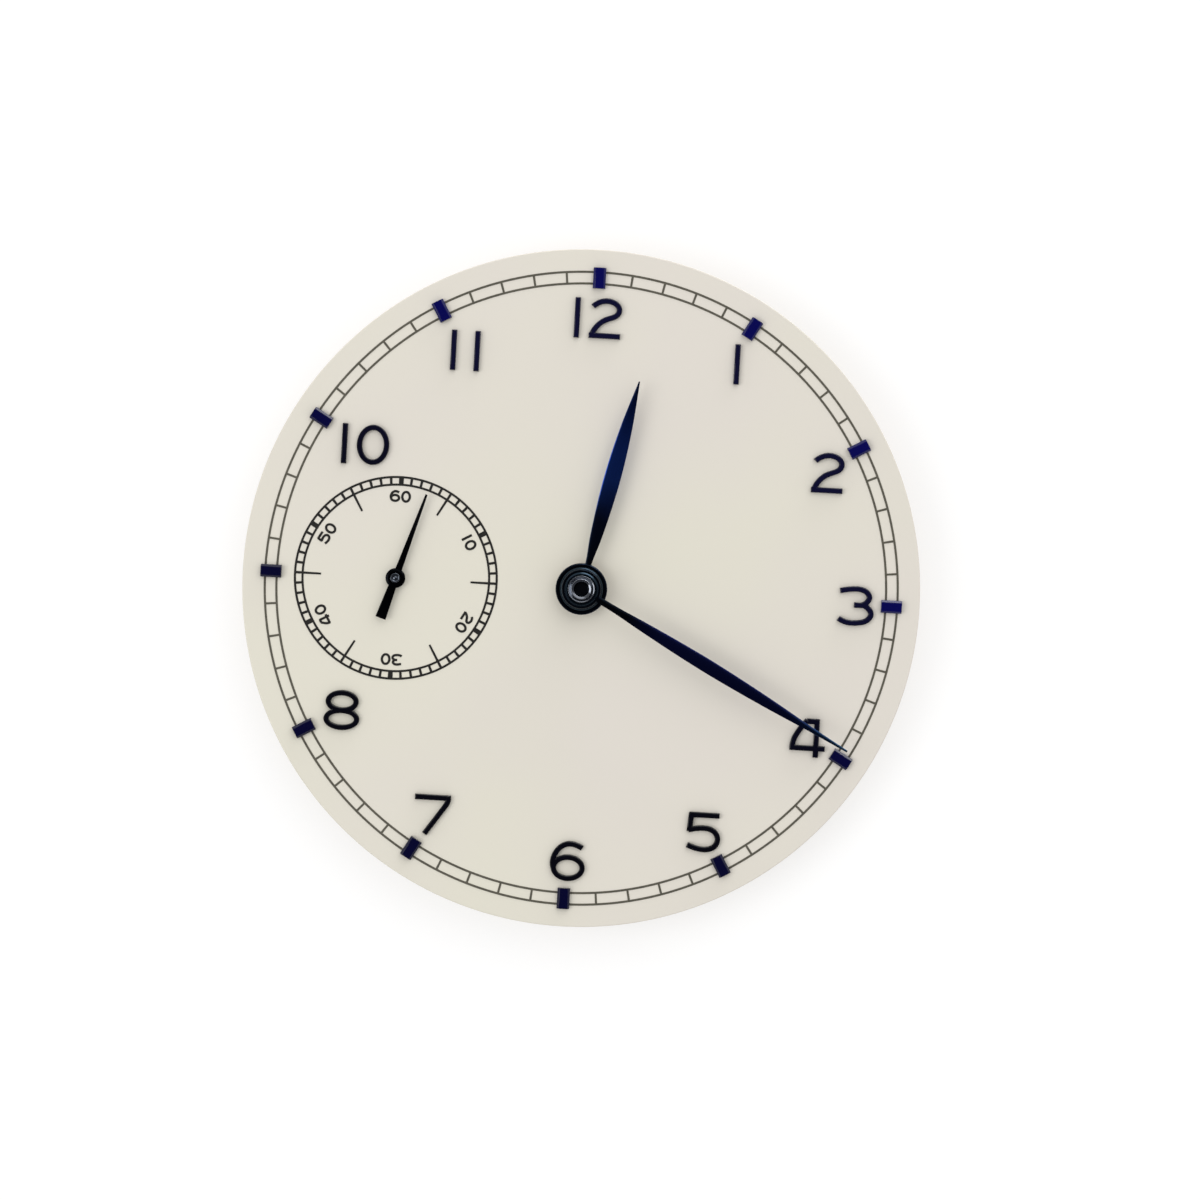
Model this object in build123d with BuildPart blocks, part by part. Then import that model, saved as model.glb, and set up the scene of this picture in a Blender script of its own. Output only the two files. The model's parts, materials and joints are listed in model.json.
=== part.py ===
from build123d import *
import os
from math import acos, cos, pi, radians, sin, tan

# Watch dial with small seconds at nine o'clock, dressed with its hands and seated on the
# plate that carries it. Millimetres. X points to three o'clock, Y to twelve o'clock and Z out
# of the dial's face. The origin is on the axis of the hands, level with the plate's underside.

os.makedirs("parts", exist_ok=True)

# Running and seating clearances, all radial or axial gaps between two pieces
running_clearance = 0.02
pipe_clearance = 0.03
shoulder_clearance = 0.05
foot_clearance = 0.01
hand_clearance = 0.28
cut_overrun = 1.0

# Main plate
plate_diameter = 36.60
plate_height = 2.90
plate_edge_break = 0.10
rim_width = 2.80
train_recess_depth = 1.20
motion_recess_margin = 0.30

# Dial blank: its edge stands out over the plate's
dial_overhang = 0.95
dial_thickness = 0.40
dial_edge_break = 0.06
centre_hole_clearance = 0.25
seconds_hole_clearance = 0.13

# Dial feet, the screws that hold them, and the holes for the case screws, all in the plate's rim
foot_diameter = 0.90
foot_length = 1.60
foot_hole_depth = 2.10
foot_bearing = 15
foot_screw_diameter = 0.66
foot_screw_depth_below_dial = 0.90
foot_screw_inset = 0.10
foot_screw_slot_width = 0.12
foot_screw_slot_depth = 0.16
case_screw_hole_diameter = 0.90
case_screw_hole_depth = 1.60

# Printed tracks and small figures: the sub-dial fills the room between centre and minute track
ink_thickness = 0.02
track_divisions = 60
minute_track_margin = 1.61
minute_track_width = 0.66
minute_line_width = 0.12
seconds_centre_gap = 4.825
seconds_rim_gap = 1.035
seconds_track_width = 0.43
seconds_line_width = 0.12
seconds_tick_width = 0.14
ten_second_block_width = 0.27
five_second_tick_length = 1.48
five_second_tick_width = 0.14
ten_second_figures = ("60", "10", "20", "30", "40", "50")
seconds_figure_gap = 0.325
seconds_figure_height = 0.68
seconds_figure_stroke = 0.135
seconds_pair_spacing = 0.63
seconds_ten_spacing = 0.48

# Applied hour markers, set a little inside the middle of the minute track
hour_count = 12
marker_inset = 0.02
marker_length = 1.18
marker_width = 0.72
marker_height = 0.32
marker_bevel = 0.12
marker_foot_diameter = 0.30

# Applied numerals
numeral_gap = 0.41
numeral_height = 2.28
numeral_stroke = 0.31
numeral_thickness = 0.26
numeral_foot_diameter = 0.24
pair_spacing = 1.62
eleven_spacing = 1.33

# Centre arbor, its bush and the cannon pinion
arbor_journal_diameter = 1.20
arbor_spindle_diameter = 0.82
arbor_tail_diameter = 0.84
arbor_tail_length = 0.60
arbor_collar_ledge = 0.35
arbor_collar_height = 0.30
bush_wall = 0.48
journal_rise = 0.10
spindle_recess = 0.45
cannon_wall = 0.19
cannon_seat_step = 0.045
cannon_leaf_height = 0.32
cannon_stand = 0.13
cannon_top_break = 0.05

# Motion work
cannon_teeth = 12
minute_wheel_teeth = 36
minute_pinion_teeth = 10
hour_wheel_teeth = 40
cannon_module = 0.150
pressure_angle = 25
addendum_share = 0.80
dedendum_share = 1.05
tooth_share = 0.43
flank_steps = 4
minute_wheel_bearing = 125
minute_wheel_thickness = 0.20
minute_pinion_stand = 0.10
minute_post_diameter = 0.60
minute_post_ledge = 0.25
hour_wheel_thickness = 0.20
hour_wheel_clearance = 0.04
hour_pipe_wall = 0.35
hour_pipe_stand = 0.10
washer_thickness = 0.04
washer_height = 0.15
washer_clearance = 0.15
washer_width = 1.15

# Seconds arbor and its jewel
seconds_pivot_diameter = 0.30
seconds_collar_ledge = 0.35
seconds_collar_height = 0.30
seconds_tail_diameter = 0.64
seconds_tail_length = 0.60
seconds_jewel_wall = 0.58
seconds_jewel_thickness = 0.40

# Seconds hand
seconds_hand_rise = 0.34
seconds_tip_gap = 0.46
seconds_hand_width = 0.42
seconds_hand_tip_width = 0.13
seconds_hand_thickness = 0.11
seconds_hand_bearing = 17.2
seconds_tail_reach = 2.42
seconds_tail_root_width = 0.44
seconds_tail_end_width = 0.61
seconds_eye_wall = 0.29
seconds_tube_wall = 0.12
seconds_tube_drop = 0.42
seconds_tube_rim = 0.12
pivot_recess = 0.04

# Hour hand and its collet
hour_tip_gap = 2.19
hour_hand_width = 0.94
hour_hand_thickness = 0.14
hour_hand_bearing = 12.3
hour_eye_wall = 0.23
hour_collet_wall = 0.23
hour_collet_drop = 0.25
hour_collet_rim = 0.15

# Minute hand and its stepped collet
minute_tip_gap = 0.09
minute_hand_width = 0.785
minute_hand_thickness = 0.14
minute_hand_bearing = 118.1
minute_hand_clearance = 0.13
minute_eye_wall = 0.17
minute_collet_wall = 0.375
minute_collet_neck_wall = 0.175
minute_collet_drop = 0.18
minute_collet_rim = 0.10
minute_collet_neck_rise = 0.16

# Half widths of the leaf hands along their length, both as shares
hour_leaf_shares = (
    (0.06, 0.32), (0.14, 0.41), (0.23, 0.67), (0.34, 0.86), (0.54, 1.00), (0.78, 0.71), (1.00, 0.08),
)
minute_leaf_shares = (
    (0.05, 0.46), (0.12, 0.49), (0.23, 0.72), (0.34, 0.90), (0.47, 1.00), (0.62, 0.88), (0.74, 0.67),
    (0.84, 0.42), (1.00, 0.14),
)

# Strokes of each figure as shares of half its height between stroke centres
bar_end_share = 1.157
figure_stroke_shares = {
    "0": (("oval", (0, 0), (0.78, 1.00)),),
    "1": (("line", (0, -bar_end_share), (0, bar_end_share)),),
    "2": (
        ("curve", (-0.77, 0.68), (-0.42, 0.93), (-0.02, 1.03), (0.37, 0.97), (0.67, 0.77), (0.76, 0.50),
         (0.62, 0.23), (0.26, 0.05), (-0.14, -0.13), (-0.50, -0.45), (-0.79, -1.00)),
        ("line", (-0.94, -0.98), (0.88, -0.98)),
    ),
    "3": (
        ("curve", (-0.95, 0.86), (-0.55, 0.94), (0.10, 1.00), (0.56, 0.86), (0.76, 0.54), (0.62, 0.25),
         (0.26, 0.07)),
        ("line", (-0.11, 0.07), (0.34, 0.07)),
        ("curve", (0.26, 0.07), (0.68, -0.06), (0.90, -0.42), (0.68, -0.78), (0.22, -0.94), (-0.30, -0.97),
         (-0.97, -0.74)),
    ),
    "4": (
        ("line", (0.44, -1.03), (0.44, 1.20)),
        ("line", (-0.14, 1.05), (0.44, 1.05)),
        ("curve", (-0.12, 1.10), (-0.49, 0.63), (-0.80, 0.10), (-0.92, -0.64)),
        ("line", (-1.00, -0.51), (0.96, -0.51)),
    ),
    "5": (
        ("line", (-0.90, 1.03), (0.84, 1.03)),
        ("line", (-0.78, 1.12), (-0.86, 0.06)),
        ("curve", (-0.92, 0.14), (-0.50, 0.24), (0.08, 0.28), (0.56, 0.12), (0.80, -0.30), (0.62, -0.76),
         (0.12, -0.95), (-0.42, -0.90), (-0.95, -0.73)),
    ),
    "6": (
        ("oval", (0.04, -0.35), (0.83, 0.61)),
        ("curve", (0.82, 0.82), (0.44, 0.99), (0.02, 1.04), (-0.44, 0.83), (-0.76, 0.38), (-0.86, -0.08),
         (-0.79, -0.38)),
    ),
    "7": (
        ("line", (-1.02, 1.00), (0.86, 1.00)),
        ("curve", (0.90, 1.14), (0.90, 0.86), (0.80, 0.60)),
        ("line", (0.84, 0.66), (-0.37, -1.12)),
    ),
    "8": (
        ("oval", (0, 0.54), (0.80, 0.50)),
        ("oval", (0.01, -0.47), (0.88, 0.49)),
    ),
}
figure_foot_shares = {
    "0": ((0, 1.00), (0, -1.00)),
    "1": ((0, 0.80), (0, -0.80)),
    "2": ((-0.02, 1.03), (0, -0.98)),
    "3": ((0.08, 1.00), (-0.04, -0.97)),
    "4": ((0.44, 0.80), (-0.50, -0.51)),
    "5": ((0, 1.03), (0.08, -0.95)),
    "6": ((0.02, 1.04), (0.04, -0.96)),
    "7": ((-0.50, 1.00), (-0.17, -0.83)),
    "8": ((0, 1.04), (0.01, -0.96)),
}

# Each numeral: its node, its figures, its radius as a share of the ring, and its bearing
numeral_places = (
    ("numeral_one", "1", 1.000, 31.4),
    ("numeral_two", "2", 0.998, 61.6),
    ("numeral_three", "3", 1.008, 90.3),
    ("numeral_four", "4", 1.000, 120.2),
    ("numeral_five", "5", 1.003, 150.0),
    ("numeral_six", "6", 1.003, 179.6),
    ("numeral_seven", "7", 0.994, 210.2),
    ("numeral_eight", "8", 0.986, 239.7),
    ("numeral_ten", "10", 0.972, 299.7),
    ("numeral_eleven", "11", 0.970, 330.7),
    ("numeral_twelve", "12", 0.991, 358.8),
)

# Diameters and radii that follow from what each piece carries
train_recess_diameter = plate_diameter - 2 * rim_width
rim_centre_radius = (plate_diameter - rim_width) / 2
dial_diameter = plate_diameter + 2 * dial_overhang
minute_track_radius = dial_diameter / 2 - minute_track_margin
marker_ring_radius = minute_track_radius - marker_inset
numeral_ring_radius = marker_ring_radius - marker_length / 2 - numeral_gap - numeral_height / 2
sub_dial_room = minute_track_radius - minute_track_width / 2 - seconds_centre_gap - seconds_rim_gap
seconds_offset = seconds_centre_gap + sub_dial_room / 2
seconds_track_radius = (sub_dial_room - seconds_track_width) / 2
seconds_figure_radius = (sub_dial_room - seconds_figure_height) / 2 - seconds_track_width - seconds_figure_gap
bush_diameter = arbor_journal_diameter + 2 * (running_clearance + bush_wall)
arbor_collar_diameter = arbor_journal_diameter + 2 * arbor_collar_ledge
cannon_bore_diameter = arbor_spindle_diameter + 2 * running_clearance
cannon_body_diameter = cannon_bore_diameter + 2 * cannon_wall
cannon_seat_diameter = cannon_body_diameter - 2 * cannon_seat_step
minute_post_collar_diameter = minute_post_diameter + 2 * minute_post_ledge
hour_pipe_bore_diameter = cannon_body_diameter + 2 * pipe_clearance
hour_pipe_diameter = hour_pipe_bore_diameter + 2 * hour_pipe_wall
washer_inner_diameter = hour_pipe_diameter + 2 * washer_clearance
washer_outer_diameter = washer_inner_diameter + 2 * washer_width
centre_hole_diameter = hour_pipe_diameter + 2 * centre_hole_clearance
seconds_collar_diameter = seconds_pivot_diameter + 2 * seconds_collar_ledge
seconds_jewel_diameter = seconds_pivot_diameter + 2 * (running_clearance + seconds_jewel_wall)
seconds_tube_diameter = seconds_pivot_diameter + 2 * seconds_tube_wall
seconds_eye_diameter = seconds_tube_diameter + 2 * seconds_eye_wall
seconds_hole_diameter = seconds_tube_diameter + 2 * seconds_hole_clearance
hour_collet_diameter = hour_pipe_diameter + 2 * hour_collet_wall
hour_eye_diameter = hour_collet_diameter + 2 * hour_eye_wall
minute_collet_diameter = cannon_seat_diameter + 2 * minute_collet_wall
minute_collet_neck_diameter = cannon_seat_diameter + 2 * minute_collet_neck_wall
minute_eye_diameter = minute_collet_diameter + 2 * minute_eye_wall
hour_hand_length = numeral_ring_radius - numeral_height / 2 - hour_tip_gap
minute_hand_length = minute_track_radius - minute_tip_gap
seconds_hand_length = seconds_track_radius - seconds_tip_gap

# Levels above the plate's underside, each standing on the one before it
motion_work_height = journal_rise + cannon_leaf_height + 2 * hour_wheel_clearance + hour_wheel_thickness
web_underside = train_recess_depth
web_top = plate_height - motion_work_height - shoulder_clearance - washer_height
seconds_jewel_top = web_underside + seconds_jewel_thickness
cannon_foot = web_top + journal_rise
cannon_leaf_top = cannon_foot + cannon_leaf_height
minute_wheel_foot = cannon_foot + running_clearance
minute_wheel_top = minute_wheel_foot + minute_wheel_thickness
hour_hub_foot = cannon_leaf_top + hour_wheel_clearance
hour_wheel_foot = hour_hub_foot + hour_wheel_clearance
hour_wheel_top = hour_wheel_foot + hour_wheel_thickness
minute_pinion_top = hour_wheel_top + minute_pinion_stand
washer_foot = hour_wheel_top + shoulder_clearance
washer_top = plate_height
face_height = plate_height + dial_thickness
seconds_hand_foot = face_height + seconds_hand_rise
seconds_hand_top = seconds_hand_foot + seconds_hand_thickness
seconds_tube_top = seconds_hand_top + seconds_tube_rim
hour_hand_foot = seconds_tube_top + hand_clearance
hour_hand_top = hour_hand_foot + hour_hand_thickness
hour_pipe_top = hour_hand_top + hour_pipe_stand
hour_collet_top = hour_hand_top + hour_collet_rim
minute_collet_foot = hour_collet_top + minute_hand_clearance
minute_hand_foot = minute_collet_foot + minute_collet_drop
minute_hand_top = minute_hand_foot + minute_hand_thickness
minute_collet_step = minute_hand_top + minute_collet_rim
minute_collet_top = minute_collet_step + minute_collet_neck_rise
cannon_top = minute_collet_top + cannon_stand
spindle_top = cannon_top - spindle_recess

# Wheel centres: both gear pairs share one distance, which sets the second pair's module
motion_centre_distance = cannon_module * (cannon_teeth + minute_wheel_teeth) / 2
hour_module = 2 * motion_centre_distance / (minute_pinion_teeth + hour_wheel_teeth)
hour_wheel_tip_diameter = hour_module * (hour_wheel_teeth + 2 * addendum_share)
minute_wheel_tip_diameter = cannon_module * (minute_wheel_teeth + 2 * addendum_share)


def from_twelve(radius, bearing):
    """Point at a radius and a clockwise bearing from twelve o'clock."""
    return radius * sin(radians(bearing)), radius * cos(radians(bearing))


def radial_plane(radius, bearing, level):
    """Plane at a point of the plate's rim that faces straight out from the centre."""
    return Plane((*from_twelve(radius, bearing), level), z_dir=(*from_twelve(1, bearing), 0))


centre = (0, 0)
minute_wheel_centre = from_twelve(motion_centre_distance, minute_wheel_bearing)
seconds_centre = (-seconds_offset, 0)
dial_foot_bearings = (foot_bearing, foot_bearing + 180)
case_screw_bearings = (foot_bearing + 90, foot_bearing + 270)
hour_bearings = [360 / hour_count * hour for hour in range(1, hour_count + 1)]
foot_screw_level = plate_height - foot_screw_depth_below_dial
upright = (Align.CENTER, Align.CENTER, Align.MIN)


def turned(place, foot, *steps):
    """Solid turned about an upright axis: steps of (diameter, top level) above the foot."""
    with BuildPart() as body:
        level = foot
        for diameter, top in steps:
            with Locations((*place, level)):
                Cylinder(diameter / 2, top - level, align=upright)
            level = top
    return body.part


def bore(place, diameter, foot, top):
    """Cut a round hole between two levels, inside the block that calls this."""
    with Locations((*place, foot)):
        Cylinder(diameter / 2, top - foot, align=upright, mode=Mode.SUBTRACT)


def involute(angle):
    return tan(angle) - angle


def gear_outline(teeth, module):
    """Closed outline of a gear with one tooth centred on X, thinned for play in the mesh."""
    pitch_radius = teeth * module / 2
    base_radius = pitch_radius * cos(radians(pressure_angle))
    tip_radius = pitch_radius + addendum_share * module
    root_radius = pitch_radius - dedendum_share * module
    flank_start = max(base_radius, root_radius)
    half_tooth = pi * tooth_share / teeth + involute(radians(pressure_angle))
    flank = []
    for step in range(flank_steps + 1):
        radius = flank_start + (tip_radius - flank_start) * step / flank_steps
        flank.append((radius, half_tooth - involute(acos(min(1, base_radius / radius)))))
    if root_radius < flank_start:
        flank.insert(0, (root_radius, flank[0][1]))
    outline = []
    for tooth in range(teeth):
        middle = 2 * pi * tooth / teeth
        outline += [(radius, middle - angle) for radius, angle in flank]
        outline += [(radius, middle + angle) for radius, angle in reversed(flank)]
    return [(radius * cos(angle), radius * sin(angle)) for radius, angle in outline]


def toothed_disc(place, foot, thickness, teeth, module, turn):
    """Gear blank at a place and level, turned about its own axis by degrees."""
    with BuildPart() as disc:
        with BuildSketch(Plane((*place, foot)).rotated((0, 0, turn))):
            with BuildLine():
                Polyline(*gear_outline(teeth, module), close=True)
            make_face()
        extrude(amount=thickness)
    return disc.part


def draw_stroke(kind, points, width):
    """Add one stroke of a figure to the sketch block that calls this."""
    with BuildLine() as stroke:
        if kind == "curve":
            Spline(*points)
        else:
            Polyline(*points)
    trace(stroke.line, line_width=width)


def half_height(height, width):
    """Half of a figure's height between the middles of its top and bottom strokes."""
    return (height - width) / 2


def draw_figure(figure, middle, height, width):
    """Add one figure to the sketch block that calls this, centred on its middle."""
    unit = half_height(height, width)
    for kind, *shares in figure_stroke_shares[figure]:
        if kind == "oval":
            (across, up), (wide, tall) = shares
            with Locations((middle[0] + unit * across, middle[1] + unit * up)):
                Ellipse(unit * wide + width / 2, unit * tall + width / 2)
                Ellipse(unit * wide - width / 2, unit * tall - width / 2, mode=Mode.SUBTRACT)
        else:
            points = [(middle[0] + unit * x, middle[1] + unit * y) for x, y in shares]
            draw_stroke(kind, points, width)


def figure_middles(figures, middle, spacing):
    """Centres of the figures of a number, side by side."""
    first = -spacing * (len(figures) - 1) / 2
    return [(middle[0] + first + spacing * place, middle[1]) for place in range(len(figures))]


def numeral_figures(figures, radius_share, bearing):
    """Each figure of an applied numeral with its middle."""
    spacing = eleven_spacing if figures == "11" else pair_spacing
    middle = from_twelve(numeral_ring_radius * radius_share, bearing)
    return list(zip(figures, figure_middles(figures, middle, spacing)))


def numeral_foot_places(figure, middle):
    """Where the feet under one applied figure stand."""
    unit = half_height(numeral_height, numeral_stroke)
    return [(middle[0] + unit * across, middle[1] + unit * up) for across, up in figure_foot_shares[figure]]


def draw_leaf(length, width, leaf_shares):
    """Add a leaf hand's blade, pointing to twelve, to the sketch block that calls this."""
    edge = [(width / 2 * share, length * along) for along, share in leaf_shares]
    mirrored_edge = [(-x, y) for x, y in reversed(edge)]
    with BuildLine() as outline:
        Spline(*edge)
        Line(edge[-1], mirrored_edge[0])
        Spline(*mirrored_edge)
        Line(mirrored_edge[-1], edge[0])
    make_face(outline.edges())


def draw_track(radius, width, line_width, tick_width):
    """Add two circles joined by a tick at every division to the sketch block that calls this."""
    for middle_radius in (radius + width / 2, radius - width / 2):
        Circle(middle_radius + line_width / 2)
        Circle(middle_radius - line_width / 2, mode=Mode.SUBTRACT)
    with PolarLocations(radius, track_divisions):
        Rectangle(width, tick_width)


def marker_block(bearing):
    """One hour marker: a block bevelled along both long edges, on a foot through the dial."""
    place = from_twelve(marker_ring_radius, bearing)
    with BuildPart() as marker:
        with BuildSketch(Plane((*place, face_height)).rotated((0, 0, -bearing))):
            Rectangle(marker_width, marker_length)
        extrude(amount=marker_height)
        top_edges = marker.faces().sort_by(Axis.Z)[-1].edges()
        chamfer(top_edges.sort_by(SortBy.LENGTH)[-2:], marker_bevel)
        add(turned(place, plate_height, (marker_foot_diameter, face_height)))
    return marker.part


# Main plate: recessed for the train below and for the motion work above
with BuildPart() as main_plate:
    Cylinder(plate_diameter / 2, plate_height, align=upright)
    chamfer(main_plate.edges().filter_by(GeomType.CIRCLE), plate_edge_break)
    bore(centre, train_recess_diameter, 0, web_underside)
    bore(centre, hour_wheel_tip_diameter + 2 * motion_recess_margin, web_top, plate_height)
    bore(minute_wheel_centre, minute_wheel_tip_diameter + 2 * motion_recess_margin, web_top, plate_height)
    bore(centre, bush_diameter, web_underside, web_top)
    bore(minute_wheel_centre, minute_post_diameter, web_underside, web_top)
    bore(seconds_centre, seconds_jewel_diameter, web_underside, seconds_jewel_top)
    bore(seconds_centre, seconds_hole_diameter, seconds_jewel_top, plate_height)
    for bearing in dial_foot_bearings:
        bore(from_twelve(rim_centre_radius, bearing), foot_diameter + 2 * foot_clearance,
             plate_height - foot_hole_depth, plate_height)
        with BuildSketch(radial_plane(rim_centre_radius, bearing, foot_screw_level)):
            Circle(foot_screw_diameter / 2 + foot_clearance)
        extrude(amount=plate_diameter / 2 - rim_centre_radius + cut_overrun, mode=Mode.SUBTRACT)
    for bearing in case_screw_bearings:
        bore(from_twelve(rim_centre_radius, bearing), case_screw_hole_diameter, 0, case_screw_hole_depth)
main_plate.part.label = "main_plate"
export_step(main_plate.part, "parts/main_plate.step")

# Bush and jewel that the two arbors turn in
with BuildPart() as centre_bush:
    add(turned(centre, web_underside, (bush_diameter, web_top)))
    bore(centre, arbor_journal_diameter + 2 * running_clearance, web_underside, web_top)
centre_bush.part.label = "centre_bush"
export_step(centre_bush.part, "parts/centre_bush.step")

with BuildPart() as seconds_jewel:
    add(turned(seconds_centre, web_underside, (seconds_jewel_diameter, seconds_jewel_top)))
    bore(seconds_centre, seconds_pivot_diameter + 2 * running_clearance, web_underside, seconds_jewel_top)
seconds_jewel.part.label = "seconds_jewel"
export_step(seconds_jewel.part, "parts/seconds_jewel.step")

# Post that the minute wheel turns on, with a collar that lifts the wheel off the plate
with BuildPart() as minute_wheel_post:
    collar_top = minute_wheel_foot - running_clearance
    add(turned(
        minute_wheel_centre,
        web_underside,
        (minute_post_diameter, web_top),
        (minute_post_collar_diameter, collar_top),
        (minute_post_diameter, minute_pinion_top + running_clearance),
    ))
minute_wheel_post.part.label = "minute_wheel_post"
export_step(minute_wheel_post.part, "parts/minute_wheel_post.step")

# Dial blank, drilled for the arbors and for the feet of every applied piece
with BuildPart() as dial_plate:
    with Locations((0, 0, plate_height)):
        Cylinder(dial_diameter / 2, dial_thickness, align=upright)
    chamfer(dial_plate.edges().filter_by(GeomType.CIRCLE).sort_by(Axis.Z)[-1], dial_edge_break)
    bore(centre, centre_hole_diameter, plate_height, face_height)
    bore(seconds_centre, seconds_hole_diameter, plate_height, face_height)
    for bearing in hour_bearings:
        bore(from_twelve(marker_ring_radius, bearing), marker_foot_diameter + 2 * foot_clearance,
             plate_height, face_height)
    for name, figures, radius_share, bearing in numeral_places:
        for figure, middle in numeral_figures(figures, radius_share, bearing):
            for place in numeral_foot_places(figure, middle):
                bore(place, numeral_foot_diameter + 2 * foot_clearance, plate_height, face_height)
dial_plate.part.label = "dial_plate"
export_step(dial_plate.part, "parts/dial_plate.step")

# Two feet under the dial, and the slotted screws that press on them through the plate's edge
with BuildPart() as dial_feet:
    for bearing in dial_foot_bearings:
        add(turned(from_twelve(rim_centre_radius, bearing), plate_height - foot_length,
                   (foot_diameter, plate_height)))
dial_feet.part.label = "dial_feet"
export_step(dial_feet.part, "parts/dial_feet.step")

with BuildPart() as dial_foot_screws:
    screw_start = rim_centre_radius + foot_diameter / 2 + running_clearance
    screw_end = plate_diameter / 2 - foot_screw_inset
    for bearing in dial_foot_bearings:
        with BuildSketch(radial_plane(screw_start, bearing, foot_screw_level)):
            Circle(foot_screw_diameter / 2)
        extrude(amount=screw_end - screw_start)
        with BuildSketch(radial_plane(screw_end, bearing, foot_screw_level)):
            Rectangle(foot_screw_diameter + cut_overrun, foot_screw_slot_width)
        extrude(amount=-foot_screw_slot_depth, mode=Mode.SUBTRACT)
dial_foot_screws.part.label = "dial_foot_screws"
export_step(dial_foot_screws.part, "parts/dial_foot_screws.step")

# Minute track: two circles and a cross tick at every minute that no marker covers
with BuildPart() as minute_track:
    with BuildSketch(Plane.XY.offset(face_height)):
        draw_track(minute_track_radius, minute_track_width, minute_line_width, minute_line_width)
        with PolarLocations(marker_ring_radius, hour_count):
            Rectangle(marker_length, marker_width, mode=Mode.SUBTRACT)
    extrude(amount=ink_thickness)
minute_track.part.label = "minute_track"
export_step(minute_track.part, "parts/minute_track.step")

# Seconds track: two circles, a tick each second, filled blocks at the tens, long ticks between
with BuildPart() as seconds_track:
    with BuildSketch(Plane((*seconds_centre, face_height))):
        draw_track(seconds_track_radius, seconds_track_width, seconds_line_width, seconds_tick_width)
        with PolarLocations(seconds_track_radius, len(ten_second_figures), start_angle=90):
            Rectangle(seconds_track_width, ten_second_block_width)
        long_tick_radius = seconds_track_radius + (seconds_track_width - five_second_tick_length) / 2
        with PolarLocations(long_tick_radius, len(ten_second_figures), start_angle=60):
            Rectangle(five_second_tick_length, five_second_tick_width)
    extrude(amount=ink_thickness)
seconds_track.part.label = "seconds_track"
export_step(seconds_track.part, "parts/seconds_track.step")

# Small figures of the seconds track, each read with its top outwards
with BuildPart() as seconds_figures:
    for index, figures in enumerate(ten_second_figures):
        turn = -360 * index / len(ten_second_figures)
        with BuildSketch(Plane((*seconds_centre, face_height)).rotated((0, 0, turn))):
            spacing = seconds_ten_spacing if figures == "10" else seconds_pair_spacing
            middles = figure_middles(figures, (0, seconds_figure_radius), spacing)
            for figure, middle in zip(figures, middles):
                draw_figure(figure, middle, seconds_figure_height, seconds_figure_stroke)
        extrude(amount=ink_thickness)
seconds_figures.part.label = "seconds_figures"
export_step(seconds_figures.part, "parts/seconds_figures.step")

# Applied hour markers: blocks with bevelled long edges, each with a foot through the dial
with BuildPart() as hour_markers:
    for bearing in hour_bearings:
        add(marker_block(bearing))
hour_markers.part.label = "hour_markers"
export_step(hour_markers.part, "parts/hour_markers.step")

# Applied numerals, each on feet through the dial
for name, figures, radius_share, bearing in numeral_places:
    with BuildPart() as numeral:
        for figure, middle in numeral_figures(figures, radius_share, bearing):
            with BuildSketch(Plane.XY.offset(face_height)):
                draw_figure(figure, middle, numeral_height, numeral_stroke)
            extrude(amount=numeral_thickness)
            for place in numeral_foot_places(figure, middle):
                add(turned(place, plate_height, (numeral_foot_diameter, face_height)))
    numeral.part.label = name
    export_step(numeral.part, f"parts/{name}.step")

# Dial washer: a thin sprung cone that keeps the hour wheel down
with BuildPart() as dial_washer:
    with BuildSketch(Plane.XZ):
        with BuildLine():
            Polyline(
                (washer_inner_diameter / 2, washer_foot),
                (washer_outer_diameter / 2, washer_top - washer_thickness),
                (washer_outer_diameter / 2, washer_top),
                (washer_inner_diameter / 2, washer_foot + washer_thickness),
                close=True,
            )
        make_face()
    revolve(axis=Axis.Z)
dial_washer.part.label = "dial_washer"
export_step(dial_washer.part, "parts/dial_washer.step")

# Centre arbor: free tail below, collar under the bush, journal, and the spindle in the cannon
with BuildPart() as centre_arbor:
    collar_top = web_underside - shoulder_clearance
    add(turned(
        centre,
        collar_top - arbor_collar_height - arbor_tail_length,
        (arbor_tail_diameter, collar_top - arbor_collar_height),
        (arbor_collar_diameter, collar_top),
        (arbor_journal_diameter, cannon_foot),
        (arbor_spindle_diameter, spindle_top),
    ))
centre_arbor.part.label = "centre_arbor"
export_step(centre_arbor.part, "parts/centre_arbor.step")

# Cannon pinion: leaves that drive the minute wheel, body in the hour pipe, seat for the hand
with BuildPart() as cannon_pinion:
    add(toothed_disc(centre, cannon_foot, cannon_leaf_height, cannon_teeth, cannon_module,
                     90 - minute_wheel_bearing))
    add(turned(
        centre,
        cannon_leaf_top,
        (cannon_body_diameter, minute_collet_foot),
        (cannon_seat_diameter, cannon_top),
    ))
    chamfer(cannon_pinion.edges().filter_by(GeomType.CIRCLE).sort_by(Axis.Z)[-1], cannon_top_break)
    bore(centre, cannon_bore_diameter, cannon_foot, cannon_top)
cannon_pinion.part.label = "cannon_pinion"
export_step(cannon_pinion.part, "parts/cannon_pinion.step")

# Minute wheel and the pinion riveted in it, both with a gap that faces the centre
with BuildPart() as minute_wheel:
    wheel_turn = 270 - minute_wheel_bearing + 180 / minute_wheel_teeth
    add(toothed_disc(minute_wheel_centre, minute_wheel_foot, minute_wheel_thickness,
                     minute_wheel_teeth, cannon_module, wheel_turn))
    bore(minute_wheel_centre, minute_post_diameter + 2 * running_clearance, minute_wheel_foot,
         minute_wheel_top)
minute_wheel.part.label = "minute_wheel"
export_step(minute_wheel.part, "parts/minute_wheel.step")

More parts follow.
